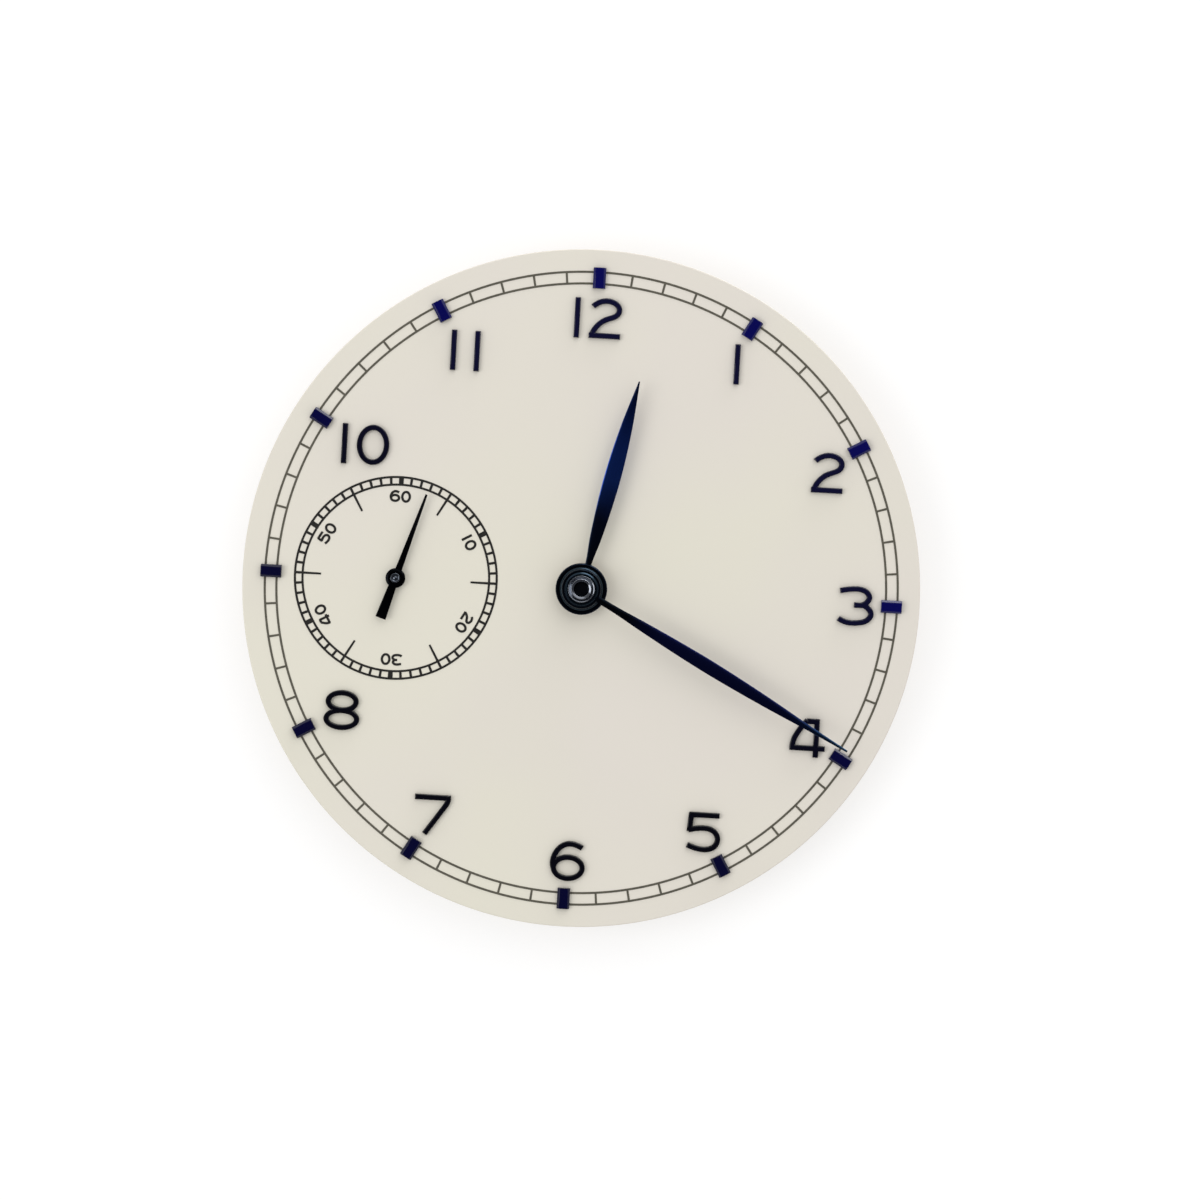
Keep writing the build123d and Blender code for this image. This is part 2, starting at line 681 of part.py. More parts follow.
with BuildPart() as minute_pinion:
    pinion_turn = 270 - minute_wheel_bearing + 180 / minute_pinion_teeth
    add(toothed_disc(minute_wheel_centre, minute_wheel_top, minute_pinion_top - minute_wheel_top,
                     minute_pinion_teeth, hour_module, pinion_turn))
    bore(minute_wheel_centre, minute_post_diameter + 2 * running_clearance, minute_wheel_top,
         minute_pinion_top)
minute_pinion.part.label = "minute_pinion"
export_step(minute_pinion.part, "parts/minute_pinion.step")

# Hour wheel with the pipe that carries the hour hand
with BuildPart() as hour_wheel:
    add(toothed_disc(centre, hour_wheel_foot, hour_wheel_thickness, hour_wheel_teeth, hour_module,
                     90 - minute_wheel_bearing))
    add(turned(centre, hour_hub_foot, (hour_pipe_diameter, hour_pipe_top)))
    bore(centre, hour_pipe_bore_diameter, hour_hub_foot, hour_pipe_top)
hour_wheel.part.label = "hour_wheel"
export_step(hour_wheel.part, "parts/hour_wheel.step")

# Hour hand: leaf blade with an eye, and the collet riveted in the eye
with BuildPart() as hour_hand:
    with BuildSketch(Plane((*centre, hour_hand_foot)).rotated((0, 0, -hour_hand_bearing))):
        draw_leaf(hour_hand_length, hour_hand_width, hour_leaf_shares)
        Circle(hour_eye_diameter / 2)
        Circle(hour_collet_diameter / 2, mode=Mode.SUBTRACT)
    extrude(amount=hour_hand_thickness)
hour_hand.part.label = "hour_hand"
export_step(hour_hand.part, "parts/hour_hand.step")

with BuildPart() as hour_hand_collet:
    collet_foot = hour_hand_foot - hour_collet_drop
    add(turned(centre, collet_foot, (hour_collet_diameter, hour_collet_top)))
    chamfer(hour_hand_collet.edges().filter_by(GeomType.CIRCLE).sort_by(Axis.Z)[-1], hour_collet_wall / 2)
    bore(centre, hour_pipe_diameter, collet_foot, hour_collet_top)
hour_hand_collet.part.label = "hour_hand_collet"
export_step(hour_hand_collet.part, "parts/hour_hand_collet.step")

# Minute hand and its stepped collet
with BuildPart() as minute_hand:
    with BuildSketch(Plane((*centre, minute_hand_foot)).rotated((0, 0, -minute_hand_bearing))):
        draw_leaf(minute_hand_length, minute_hand_width, minute_leaf_shares)
        Circle(minute_eye_diameter / 2)
        Circle(minute_collet_diameter / 2, mode=Mode.SUBTRACT)
    extrude(amount=minute_hand_thickness)
minute_hand.part.label = "minute_hand"
export_step(minute_hand.part, "parts/minute_hand.step")

with BuildPart() as minute_hand_collet:
    add(turned(centre, minute_collet_foot, (minute_collet_diameter, minute_collet_step)))
    step_width = minute_collet_wall - minute_collet_neck_wall
    chamfer(minute_hand_collet.edges().filter_by(GeomType.CIRCLE).sort_by(Axis.Z)[-1], step_width / 2)
    add(turned(centre, minute_collet_step, (minute_collet_neck_diameter, minute_collet_top)))
    bore(centre, cannon_seat_diameter, minute_collet_foot, minute_collet_top)
minute_hand_collet.part.label = "minute_hand_collet"
export_step(minute_hand_collet.part, "parts/minute_hand_collet.step")

# Seconds arbor: free tail below, collar under the jewel, long pivot that carries the hand
with BuildPart() as seconds_arbor:
    collar_top = web_underside - shoulder_clearance
    add(turned(
        seconds_centre,
        collar_top - seconds_collar_height - seconds_tail_length,
        (seconds_tail_diameter, collar_top - seconds_collar_height),
        (seconds_collar_diameter, collar_top),
        (seconds_pivot_diameter, seconds_tube_top - pivot_recess),
    ))
seconds_arbor.part.label = "seconds_arbor"
export_step(seconds_arbor.part, "parts/seconds_arbor.step")

# Seconds hand: tapering blade, eye and counterweight tail, and the tube that grips the pivot
with BuildPart() as seconds_hand:
    with BuildSketch(Plane((*seconds_centre, seconds_hand_foot)).rotated((0, 0, -seconds_hand_bearing))):
        with BuildLine():
            Polyline(
                (-seconds_hand_width / 2, 0),
                (-seconds_hand_tip_width / 2, seconds_hand_length),
                (seconds_hand_tip_width / 2, seconds_hand_length),
                (seconds_hand_width / 2, 0),
                close=True,
            )
        make_face()
        with BuildLine():
            Polyline(
                (-seconds_tail_root_width / 2, 0),
                (-seconds_tail_end_width / 2, -seconds_tail_reach),
                (seconds_tail_end_width / 2, -seconds_tail_reach),
                (seconds_tail_root_width / 2, 0),
                close=True,
            )
        make_face()
        Circle(seconds_eye_diameter / 2)
        Circle(seconds_tube_diameter / 2, mode=Mode.SUBTRACT)
    extrude(amount=seconds_hand_thickness)
seconds_hand.part.label = "seconds_hand"
export_step(seconds_hand.part, "parts/seconds_hand.step")

with BuildPart() as seconds_hand_tube:
    tube_foot = seconds_hand_foot - seconds_tube_drop
    add(turned(seconds_centre, tube_foot, (seconds_tube_diameter, seconds_tube_top)))
    bore(seconds_centre, seconds_pivot_diameter, tube_foot, seconds_tube_top)
seconds_hand_tube.part.label = "seconds_hand_tube"
export_step(seconds_hand_tube.part, "parts/seconds_hand_tube.step")
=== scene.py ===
# %% [markdown]
# # Dressing a watch dial
#
# The part is a small-seconds watch dial with its hands on. Every solid of it already exists at its real
# size. This lesson gives each one the surface that the eye expects: lacquer, printed ink, blued steel,
# gilt brass. We load the solids first, because every new piece is drawn in their frame.

# %% Load the frame
import json
from math import cos, degrees, pi, radians, sin

import bmesh
import bpy
import numpy as np
from mathutils import Matrix, Vector


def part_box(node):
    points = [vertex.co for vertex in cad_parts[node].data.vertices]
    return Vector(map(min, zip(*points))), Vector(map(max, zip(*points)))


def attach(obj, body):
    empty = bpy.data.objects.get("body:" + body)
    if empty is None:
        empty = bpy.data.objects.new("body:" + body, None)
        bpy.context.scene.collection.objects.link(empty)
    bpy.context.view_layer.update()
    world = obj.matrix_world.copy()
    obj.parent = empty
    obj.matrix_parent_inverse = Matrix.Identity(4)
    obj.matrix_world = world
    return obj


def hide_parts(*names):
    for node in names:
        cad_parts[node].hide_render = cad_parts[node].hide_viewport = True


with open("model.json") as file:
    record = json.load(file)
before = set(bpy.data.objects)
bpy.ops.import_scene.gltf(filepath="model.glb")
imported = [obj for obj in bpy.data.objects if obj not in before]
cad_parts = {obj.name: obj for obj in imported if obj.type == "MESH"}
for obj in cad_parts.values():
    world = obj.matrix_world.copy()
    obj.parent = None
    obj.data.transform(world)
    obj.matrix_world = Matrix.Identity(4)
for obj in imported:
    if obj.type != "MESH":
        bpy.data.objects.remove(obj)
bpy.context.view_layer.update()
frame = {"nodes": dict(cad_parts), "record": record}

record = frame["record"]
body_of = {node: body for body, nodes in record["behaviour"]["bodies"].items() for node in nodes}

# %% [markdown]
# A watch is drawn in millimetres and Blender works in metres. The shapes below are drawn in millimetres
# and made metres once, at the end, so their numbers can be read like a watchmaker's drawing. The heights
# come from the solids themselves, so nothing has to be fitted by eye.

# %% Millimetres and levels
MM = 0.001


def span(node):
    """Lowest and highest corner of a solid in millimetres."""
    low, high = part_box(node)
    return Vector(low) / MM, Vector(high) / MM


def levels(node):
    """Heights of a solid's underside and top in millimetres."""
    low, high = span(node)
    return low.z, high.z


def upright_axis(node):
    """The foot of the upright axis through a solid's middle, in millimetres."""
    low, high = span(node)
    return Vector((*((low + high) / 2).xy, 0))


dial_back, dial_face = levels("dial_plate")
dial_radius = span("dial_plate")[1].x
hand_axis = Vector((0, 0, 0))
seconds_axis = upright_axis("seconds_jewel")
wheel_axis = upright_axis("minute_wheel_post")
print("dial from", round(dial_back, 2), "to", round(dial_face, 2), "mm, radius", round(dial_radius, 2))

# %% [markdown]
# ## The camera
#
# The photograph looks straight down on the dial but for one degree, and the dial is turned a few degrees
# clockwise in it. A long lens keeps the circle round. The distance follows from the lens: at the dial's
# face the picture is as wide as 1200 of the photograph's pixels.

# %% Camera
picture_pixels = 1200
pixel_size = 0.05678
dial_centre_pixel = (581.4, 588.8)
lens, sensor = 85, 36
lean, lean_bearing, roll = radians(1), radians(-20), radians(3.35)

picture_width = picture_pixels * pixel_size
distance = picture_width * lens / sensor
towards_camera = Vector((sin(lean) * sin(lean_bearing), sin(lean) * cos(lean_bearing), cos(lean)))
picture_up = Vector((-sin(roll), cos(roll), 0))
picture_right = picture_up.cross(towards_camera).normalized()
picture_up = towards_camera.cross(picture_right)
aim = Vector((0, 0, dial_face))
aim += picture_right * (picture_pixels / 2 - dial_centre_pixel[0]) * pixel_size
aim -= picture_up * (picture_pixels / 2 - dial_centre_pixel[1]) * pixel_size

camera = bpy.data.objects.new("camera", bpy.data.cameras.new("camera"))
bpy.context.scene.collection.objects.link(camera)
camera.data.lens, camera.data.sensor_width = lens, sensor
camera.data.clip_start, camera.data.clip_end = 0.005, 20
turn = Matrix((picture_right, picture_up, towards_camera)).transposed()
camera.matrix_world = Matrix.Translation((aim + towards_camera * distance) * MM) @ turn.to_4x4()
bpy.context.scene.camera = camera
bpy.context.scene.view_settings.view_transform = "Standard"
print("camera", round(distance, 1), "mm from the dial")

# %% [markdown]
# ## Nodes in one line each
#
# A finish is a small tree of shader nodes. One function adds a node, sets it and links it, so that each
# finish below reads as a list of what it is made of. Colours are written as they look on a screen, and
# one function turns them into the linear values that light is calculated with.

# %% Helpers for finishes
def hex_colour(text):
    """The linear colour of an sRGB hex value."""
    shares = [int(text[place:place + 2], 16) / 255 for place in (1, 3, 5)]
    return (*(s / 12.92 if s <= 0.04045 else ((s + 0.055) / 1.055) ** 2.4 for s in shares), 1.0)


def add_node(tree, kind, settings=(), **inputs):
    """Add a node with its settings. Each input, named or numbered, is a value or a socket to link."""
    node = tree.nodes.new(kind)
    for name, value in dict(settings).items():
        setattr(node, name, value)
    for name, value in inputs.items():
        socket = node.inputs[int(name[1:]) if name[1:].isdigit() else name.replace("_", " ")]
        if isinstance(value, bpy.types.NodeSocket):
            tree.links.new(value, socket)
        else:
            socket.default_value = value
    return node


def start_finish(name, colour, **inputs):
    """A material whose shader has these values on its own sockets, with its tree and its shader."""
    material = bpy.data.materials.new(name)
    material.use_nodes = True
    shader = material.node_tree.nodes["Principled BSDF"]
    shader.inputs["Base Color"].default_value = hex_colour(colour)
    for socket, value in inputs.items():
        shader.inputs[socket.replace("_", " ")].default_value = value
    return material, material.node_tree, shader


def per_size(size_mm):
    """The texture scale whose features are this many millimetres wide."""
    return 1 / (size_mm * MM)


def per_line(spacing_mm):
    """The scale whose wave lines lie this far apart: at a scale of 1 they lie 0.314 units apart."""
    return 0.314 / (spacing_mm * MM)


# %% [markdown]
# ## Floor, sky and lamps
#
# The floor is pale paper. Seen by the camera it is lifted to white, and it still takes the dial's shadow.
# Polished steel shows what stands around it, so the sky is part of the steel's look. It is white towards
# twelve o'clock, grey towards six, and dims straight overhead, where a photographer leans over the dial.
# That dark patch makes polished blued steel nearly black when it lies flat. Three soft lamps light the
# scene: a window on the left, a broad one beyond twelve, and a low strip under that one, which only the
# bevels that face it send back to the camera.

# %% Floor
def seen_directly(tree):
    """Two switches: a ray from the camera, a mirror or glass, and a ray from the camera alone."""
    rays = add_node(tree, "ShaderNodeLightPath")
    seen = add_node(tree, "ShaderNodeMath", {"operation": "MAXIMUM"},
                    _0=rays.outputs["Is Camera Ray"], _1=rays.outputs["Is Glossy Ray"])
    seen = add_node(tree, "ShaderNodeMath", {"operation": "MAXIMUM"},
                    _0=seen.outputs[0], _1=rays.outputs["Is Transmission Ray"])
    return seen.outputs[0], rays.outputs["Is Camera Ray"]


floor_metres, floor_drop = 4, 0.02
floor_mesh = bpy.data.meshes.new("floor")
floor_shape = bmesh.new()
bmesh.ops.create_circle(floor_shape, cap_ends=True, segments=96, radius=floor_metres)
bmesh.ops.translate(floor_shape, vec=(0, 0, -floor_drop * MM), verts=floor_shape.verts)
floor_shape.to_mesh(floor_mesh)
floor_shape.free()
floor = bpy.data.objects.new("floor", floor_mesh)
bpy.context.scene.collection.objects.link(floor)

paper = bpy.data.materials.new("white_paper")
paper.use_nodes = True
tree = paper.node_tree
tree.nodes.clear()
seen, _ = seen_directly(tree)
lit = add_node(tree, "ShaderNodeBsdfDiffuse", Color=hex_colour("#E6E6E4"))
lit_softly = add_node(tree, "ShaderNodeBsdfDiffuse", Color=hex_colour("#A8A8A8"))
glow = add_node(tree, "ShaderNodeEmission", Color=hex_colour("#FFFFFF"), Strength=0.66)
lifted = add_node(tree, "ShaderNodeAddShader", _0=lit_softly.outputs[0], _1=glow.outputs[0])
choice = add_node(tree, "ShaderNodeMixShader", _0=seen, _1=lit.outputs[0], _2=lifted.outputs[0])
add_node(tree, "ShaderNodeOutputMaterial", Surface=choice.outputs[0])
floor_mesh.materials.append(paper)
print("floor", floor_drop, "mm under the part")

# %% Sky
world = bpy.data.worlds.new("studio")
bpy.context.scene.world = world
world.use_nodes = True
tree = world.node_tree
tree.nodes.clear()
seen, from_camera = seen_directly(tree)
direction = add_node(tree, "ShaderNodeTexCoord").outputs["Generated"]
sides = add_node(tree, "ShaderNodeSeparateXYZ", Vector=direction)
lit_side = add_node(tree, "ShaderNodeMapRange", {"interpolation_type": "SMOOTHSTEP"},
                    Value=sides.outputs["Y"], From_Min=0.0, From_Max=0.85)
horizon = add_node(tree, "ShaderNodeMix", {"data_type": "RGBA"}, _0=lit_side.outputs[0],
                   _6=hex_colour("#6C6C70"), _7=hex_colour("#FFFFFF"))
overhead = add_node(tree, "ShaderNodeMapRange", {"interpolation_type": "SMOOTHSTEP"},
                    Value=sides.outputs["Z"], From_Min=0.25, From_Max=0.92)
dome = add_node(tree, "ShaderNodeMix", {"data_type": "RGBA"}, _0=overhead.outputs[0],
                _6=horizon.outputs[2], _7=hex_colour("#404046"))
dome = add_node(tree, "ShaderNodeMix", {"data_type": "RGBA"}, _0=from_camera,
                _6=dome.outputs[2], _7=hex_colour("#FFFFFF"))
shown = add_node(tree, "ShaderNodeBackground", Color=dome.outputs[2], Strength=1.0)
fill = add_node(tree, "ShaderNodeBackground", Color=hex_colour("#FFFFFF"), Strength=0.70)
choice = add_node(tree, "ShaderNodeMixShader", _0=seen, _1=fill.outputs[0], _2=shown.outputs[0])
add_node(tree, "ShaderNodeOutputWorld", Surface=choice.outputs[0])
print("sky with", len(tree.nodes), "nodes")


# %% Lamps
def add_lamp(name, bearing, rise, reach, size, power):
    """A soft lamp, wide and tall, that faces the dial from a bearing, clockwise from twelve, and a rise."""
    lamp = bpy.data.objects.new(name, bpy.data.lights.new(name, "AREA"))
    bpy.context.scene.collection.objects.link(lamp)
    lamp.data.shape = "RECTANGLE"
    lamp.data.size, lamp.data.size_y = size
    lamp.data.energy = power
    around, up = radians(bearing), radians(rise)
    place = Vector((sin(around) * cos(up), cos(around) * cos(up), sin(up))) * reach
    lamp.matrix_world = Matrix.Translation(place) @ place.to_track_quat("Z", "Y").to_matrix().to_4x4()
    print(name, "at", [round(c, 2) for c in place], "m")


add_lamp("window", bearing=262, rise=50, reach=0.60, size=(0.34, 0.34), power=0.85)
add_lamp("twelve_side", bearing=20, rise=46, reach=0.70, size=(0.75, 0.75), power=1.15)
add_lamp("low_strip", bearing=20, rise=6, reach=0.60, size=(0.50, 0.11), power=1.1)

# %% [markdown]
# ## Cream lacquer on a brass blank
#
# The dial is a brass blank sprayed with cream lacquer and rubbed satin. Sprayed lacquer is never quite one
# tone, so a broad cloud shifts its colour slightly, and a very fine ripple breaks up the reflections. The
# real ripple is finer than a pixel of the picture, so it is drawn at a third of a millimetre.

# %% Cream lacquer
cream_lacquer, tree, shader = start_finish(
    "satin_cream_lacquer", "#E4E0D4", Roughness=0.42, IOR=1.48, Coat_Weight=0.15, Coat_Roughness=0.30)
place = add_node(tree, "ShaderNodeTexCoord").outputs["Object"]
cloud = add_node(tree, "ShaderNodeTexNoise", Vector=place, Scale=per_size(14), Detail=2.0, Roughness=0.4)
tone = add_node(tree, "ShaderNodeMapRange", Value=cloud.outputs[0], From_Min=0.35, From_Max=0.65)
cream = add_node(tree, "ShaderNodeMix", {"data_type": "RGBA"}, _0=tone.outputs[0],
                 _6=hex_colour("#E3DFD0"), _7=hex_colour("#E2DCD2"))
tree.links.new(cream.outputs[2], shader.inputs["Base Color"])
ripple = add_node(tree, "ShaderNodeTexNoise", Vector=place, Scale=per_size(0.33), Detail=3.0)
bump = add_node(tree, "ShaderNodeBump", Height=ripple.outputs[0], Strength=0.12, Distance=0.004 * MM)
tree.links.new(bump.outputs[0], shader.inputs["Normal"])
print("dial face:", cream_lacquer.name)

# %% [markdown]
# The walls of the blank and of the plate were turned in a lathe and stay bare. The tool leaves level lines
# one above the other, which catch the light as a fine stack of rings, and handling dulls them in patches.
# A wave texture along the height draws the lines. The plate's are drawn coarser, so that they show.

# %% Turned edges
def turned_edge(name, light, deep, spacing_mm, roughness):
    """Brass whose edge was turned: level lines one above the other, uneven in tone round the rim."""
    material, tree, shader = start_finish(name, light, Metallic=1.0, Roughness=roughness)
    place = add_node(tree, "ShaderNodeTexCoord").outputs["Object"]
    cuts = add_node(tree, "ShaderNodeTexWave", {"bands_direction": "Z"}, Vector=place,
                    Scale=per_line(spacing_mm), Distortion=1.5, Detail=2.0, Detail_Scale=0.4)
    wear = add_node(tree, "ShaderNodeTexNoise", Vector=place, Scale=per_size(3), Detail=4.0)
    tone = add_node(tree, "ShaderNodeMix", {"data_type": "RGBA"}, _0=wear.outputs[0],
                    _6=hex_colour(light), _7=hex_colour(deep))
    tree.links.new(tone.outputs[2], shader.inputs["Base Color"])
    bump = add_node(tree, "ShaderNodeBump", Height=cuts.outputs[1], Strength=0.45, Distance=0.006 * MM)
    tree.links.new(bump.outputs[0], shader.inputs["Normal"])
    return material


brass_blank = turned_edge("turned_brass_blank", "#D2B98C", "#BE9F68", spacing_mm=0.06, roughness=0.30)
gilt_edge = turned_edge("turned_gilt_edge", "#D0B27C", "#B8955A", spacing_mm=0.16, roughness=0.28)
print("turned edges:", brass_blank.name, "and", gilt_edge.name)

# %% [markdown]
# ## Printed ink
#
# The tracks are pad-printed. The minute track's thin lines are a warm grey, and the seconds track is a
# denser black. Printed ink lies unevenly, so its colour breathes a little over a few tenths of a
# millimetre, and it is duller than the lacquer beneath it.

# %% Printed ink
inks = {}
for name, thin, dense in (("warm_grey_print", "#666254", "#46433A"), ("black_print", "#26241F", "#0E0D0B")):
    inks[name], tree, shader = start_finish(name, dense, Roughness=0.62, IOR=1.45)
    place = add_node(tree, "ShaderNodeTexCoord").outputs["Object"]
    cover = add_node(tree, "ShaderNodeTexNoise", Vector=place, Scale=per_size(0.25), Detail=2.0)
    ink = add_node(tree, "ShaderNodeMix", {"data_type": "RGBA"}, _0=cover.outputs[0],
                   _6=hex_colour(dense), _7=hex_colour(thin))
    tree.links.new(ink.outputs[2], shader.inputs["Base Color"])
    bump = add_node(tree, "ShaderNodeBump", Height=cover.outputs[0], Strength=0.3, Distance=0.003 * MM)
    tree.links.new(bump.outputs[0], shader.inputs["Normal"])
print("inks:", list(inks))

# %% [markdown]
# ## Blued steel
#
# Polished steel turns blue when it is heated: an oxide film colours the reflection and leaves it sharp.
# The film grows with the heat, so its colour changes along the hand. The hour hand is nearly black at its
# root and turns a deep blue half-way out. A ramp over the distance from the axis draws that, and noise
# keeps it from looking ruled.

# %% Blued steel
def blued_steel(name, stops, axis=hand_axis, roughness=0.20):
    """Heat-blued steel whose tint follows (distance from the axis in mm, colour) stops."""
    material, tree, shader = start_finish(name, stops[0][1], Metallic=1.0, Roughness=roughness)
    place = add_node(tree, "ShaderNodeTexCoord").outputs["Object"]
    centred = add_node(tree, "ShaderNodeMapping", Vector=place, Location=tuple(-axis * MM)).outputs[0]
    flat = add_node(tree, "ShaderNodeVectorMath", {"operation": "MULTIPLY"}, _0=centred, _1=(1, 1, 0))
    away = add_node(tree, "ShaderNodeVectorMath", {"operation": "LENGTH"}, _0=flat.outputs[0])
    patchy = add_node(tree, "ShaderNodeTexNoise", Vector=place, Scale=per_size(1.6), Detail=2.0)
    shift = add_node(tree, "ShaderNodeMath", {"operation": "MULTIPLY_ADD"},
                     _0=patchy.outputs[0], _1=1.2 * MM, _2=away.outputs["Value"])
    ramp_end = stops[-1][0] * 1.1
    share = add_node(tree, "ShaderNodeMath", {"operation": "DIVIDE"}, _0=shift.outputs[0], _1=ramp_end * MM)
    ramp = add_node(tree, "ShaderNodeValToRGB", Fac=share.outputs[0])
    while len(ramp.color_ramp.elements) < len(stops):
        ramp.color_ramp.elements.new(1.0)
    for element, (distance_mm, colour) in zip(ramp.color_ramp.elements, stops):
        element.position, element.color = distance_mm / ramp_end, hex_colour(colour)
    tree.links.new(ramp.outputs[0], shader.inputs["Base Color"])
    lines = add_node(tree, "ShaderNodeTexNoise", Vector=place, Scale=per_size(0.06), Detail=1.0)
    bump = add_node(tree, "ShaderNodeBump", Height=lines.outputs[0], Strength=0.08, Distance=0.001 * MM)
    tree.links.new(bump.outputs[0], shader.inputs["Normal"])
    return material


blued_hour_steel = blued_steel("heat_blued_hour_steel", (
    (0, "#1E2630"), (1.6, "#1A222C"), (4.6, "#1E2844"), (7.0, "#3158BA"), (8.8, "#2C52B6"),
    (11.2, "#1E3578"), (12.8, "#1C2C50")))
blued_minute_steel = blued_steel("heat_blued_minute_steel", (
    (0, "#1E2630"), (3.5, "#181E28"), (6.0, "#262E6C"), (14.0, "#222A62"), (17.6, "#2A4C6C")))
blued_collet_steel = blued_steel("heat_blued_collet_steel", (
    (0, "#24303C"), (0.8, "#2A3E52"), (1.1, "#28506E"), (1.3, "#26323C")))
blackened_steel = blued_steel("blackened_seconds_steel", (
    (0, "#1C1F24"), (1.0, "#14161A"), (2.6, "#181A1E"), (5.2, "#3C3E40")), axis=seconds_axis)
print("blued:", blued_hour_steel.name, blued_minute_steel.name, blued_collet_steel.name, blackened_steel.name)

# %% [markdown]
# ## Navy lacquer
#
# The markers and numerals are brass under a hard navy lacquer. A lacquer is not a metal: its own colour
# stays the same from every side, and only a thin white reflection lies over it. So a facet is navy, nearly
# black on the numerals, until it faces a lamp, and then it turns a pale blue. Light and shade across the
# dial are painted into the tint: it is mixed bluer towards one o'clock as a painted highlight and darker
# towards seven as painted shade, with a little noise from piece to piece.

# %% Navy lacquer
navy = {}
# Painted light: the lacquer is mixed bluer towards this bearing, near one o'clock, and darker away from it.
painted_light_bearing = radians(28)
painted_light_side = (sin(painted_light_bearing), cos(painted_light_bearing), 0)
for name, light, deep in (("gloss_navy_lacquer", "#020250", "#020226"),
                          ("gloss_dark_navy_lacquer", "#0A0A2C", "#020206")):
    navy[name], tree, shader = start_finish(name, deep, Roughness=0.14, IOR=1.45)
    place = add_node(tree, "ShaderNodeTexCoord").outputs["Object"]
    along = add_node(tree, "ShaderNodeVectorMath", {"operation": "DOT_PRODUCT"}, _0=place, _1=painted_light_side)
    # Painted light and shade: 0 on the shaded seven o'clock side, 1 on the lit one o'clock side.
    painted_light_share = add_node(tree, "ShaderNodeMapRange", {"interpolation_type": "SMOOTHSTEP"},
                        Value=along.outputs["Value"], From_Min=-6 * MM, From_Max=13 * MM)
    patchy = add_node(tree, "ShaderNodeTexNoise", Vector=place, Scale=per_size(1.1), Detail=2.0)
    share = add_node(tree, "ShaderNodeMath", {"operation": "MULTIPLY_ADD", "use_clamp": True},
                     _0=patchy.outputs[0], _1=0.16, _2=painted_light_share.outputs[0])
    coat = add_node(tree, "ShaderNodeMix", {"data_type": "RGBA"}, _0=share.outputs[0],
                    _6=hex_colour(deep), _7=hex_colour(light))
    tree.links.new(coat.outputs[2], shader.inputs["Base Color"])
    flow = add_node(tree, "ShaderNodeTexNoise", Vector=place, Scale=per_size(0.16), Detail=1.0)
    bump = add_node(tree, "ShaderNodeBump", Height=flow.outputs[0], Strength=0.15, Distance=0.002 * MM)
    tree.links.new(bump.outputs[0], shader.inputs["Normal"])
print("navy:", list(navy))

# %% [markdown]
# ## Turned and grained metals
#
# Turned pieces carry rings centred on their own axis, and the wheels are grained in circles. Real turning
# marks and grain are far finer than a pixel, so the rings are drawn up to a tenth of a millimetre apart,
# which is as coarse as they need to be to show. The centre arbor ends in the shade of its hole, and that
# shade is painted into its steel, which is darker than the rest.

# %% Metals with rings
def ring_finish(name, colour, worn, axis, spacing_mm, roughness, depth):
    """A turned metal: rings about an upright axis, a slow change of tone and a fine scatter."""
    material, tree, shader = start_finish(name, colour, Metallic=1.0, Roughness=roughness)
    place = add_node(tree, "ShaderNodeTexCoord").outputs["Object"]
    centred = add_node(tree, "ShaderNodeMapping", Vector=place, Location=tuple(-axis * MM)).outputs[0]
    rings = add_node(tree, "ShaderNodeTexWave", {"wave_type": "RINGS", "rings_direction": "Z"},
                     Vector=centred, Scale=per_line(spacing_mm), Distortion=0.4)
    drift = add_node(tree, "ShaderNodeTexNoise", Vector=place, Scale=per_size(1.5), Detail=2.0)
    tone = add_node(tree, "ShaderNodeMix", {"data_type": "RGBA"}, _0=drift.outputs[0],
                    _6=hex_colour(colour), _7=hex_colour(worn))
    tree.links.new(tone.outputs[2], shader.inputs["Base Color"])
    bump = add_node(tree, "ShaderNodeBump", Height=rings.outputs[1], Strength=depth, Distance=0.002 * MM)
    tree.links.new(bump.outputs[0], shader.inputs["Normal"])
    return material


polished = {"spacing_mm": 0.06, "roughness": 0.16, "depth": 0.05}
arbor_rings = {"spacing_mm": 0.06, "roughness": 0.22, "depth": 0.05}
grained = {"spacing_mm": 0.10, "roughness": 0.30, "depth": 0.35}
turned = {"spacing_mm": 0.08, "roughness": 0.28, "depth": 0.30}
centre_steel = ring_finish("turned_centre_steel", "#9CA1A9", "#8A8F98", hand_axis, **polished)
# Painted shade: the arbor's steel colours are darkened to stand for the shade inside its hole.
arbor_steel = ring_finish("arbor_steel_painted_shade", "#2E3138", "#24272D", hand_axis, **arbor_rings)
seconds_steel = ring_finish("turned_seconds_steel", "#7D858E", "#6E757E", seconds_axis, **polished)
post_steel = ring_finish("turned_post_steel", "#B9BCC2", "#A3A7AE", wheel_axis, **polished)
hour_wheel_brass = ring_finish("grained_hour_wheel_brass", "#C8A560", "#B8924E", hand_axis, **grained)
minute_wheel_brass = ring_finish("grained_minute_wheel_brass", "#C8A560", "#B8924E", wheel_axis, **grained)
bush_bronze = ring_finish("turned_bush_bronze", "#B98B5C", "#A3764A", hand_axis, **turned)
print("steels:", centre_steel.name, arbor_steel.name, seconds_steel.name, post_steel.name)
print("brass and bronze:", hour_wheel_brass.name, minute_wheel_brass.name, bush_bronze.name)

# %% [markdown]
# The plate's gilding is a fine frost, made with a wire brush before the bath, which scatters the light and
# glows evenly. The screws are polished and the copper feet are drawn wire, so both show faint scratches.
# The ruby is clear red glass to the eye, with a high index that gives it bright edges.

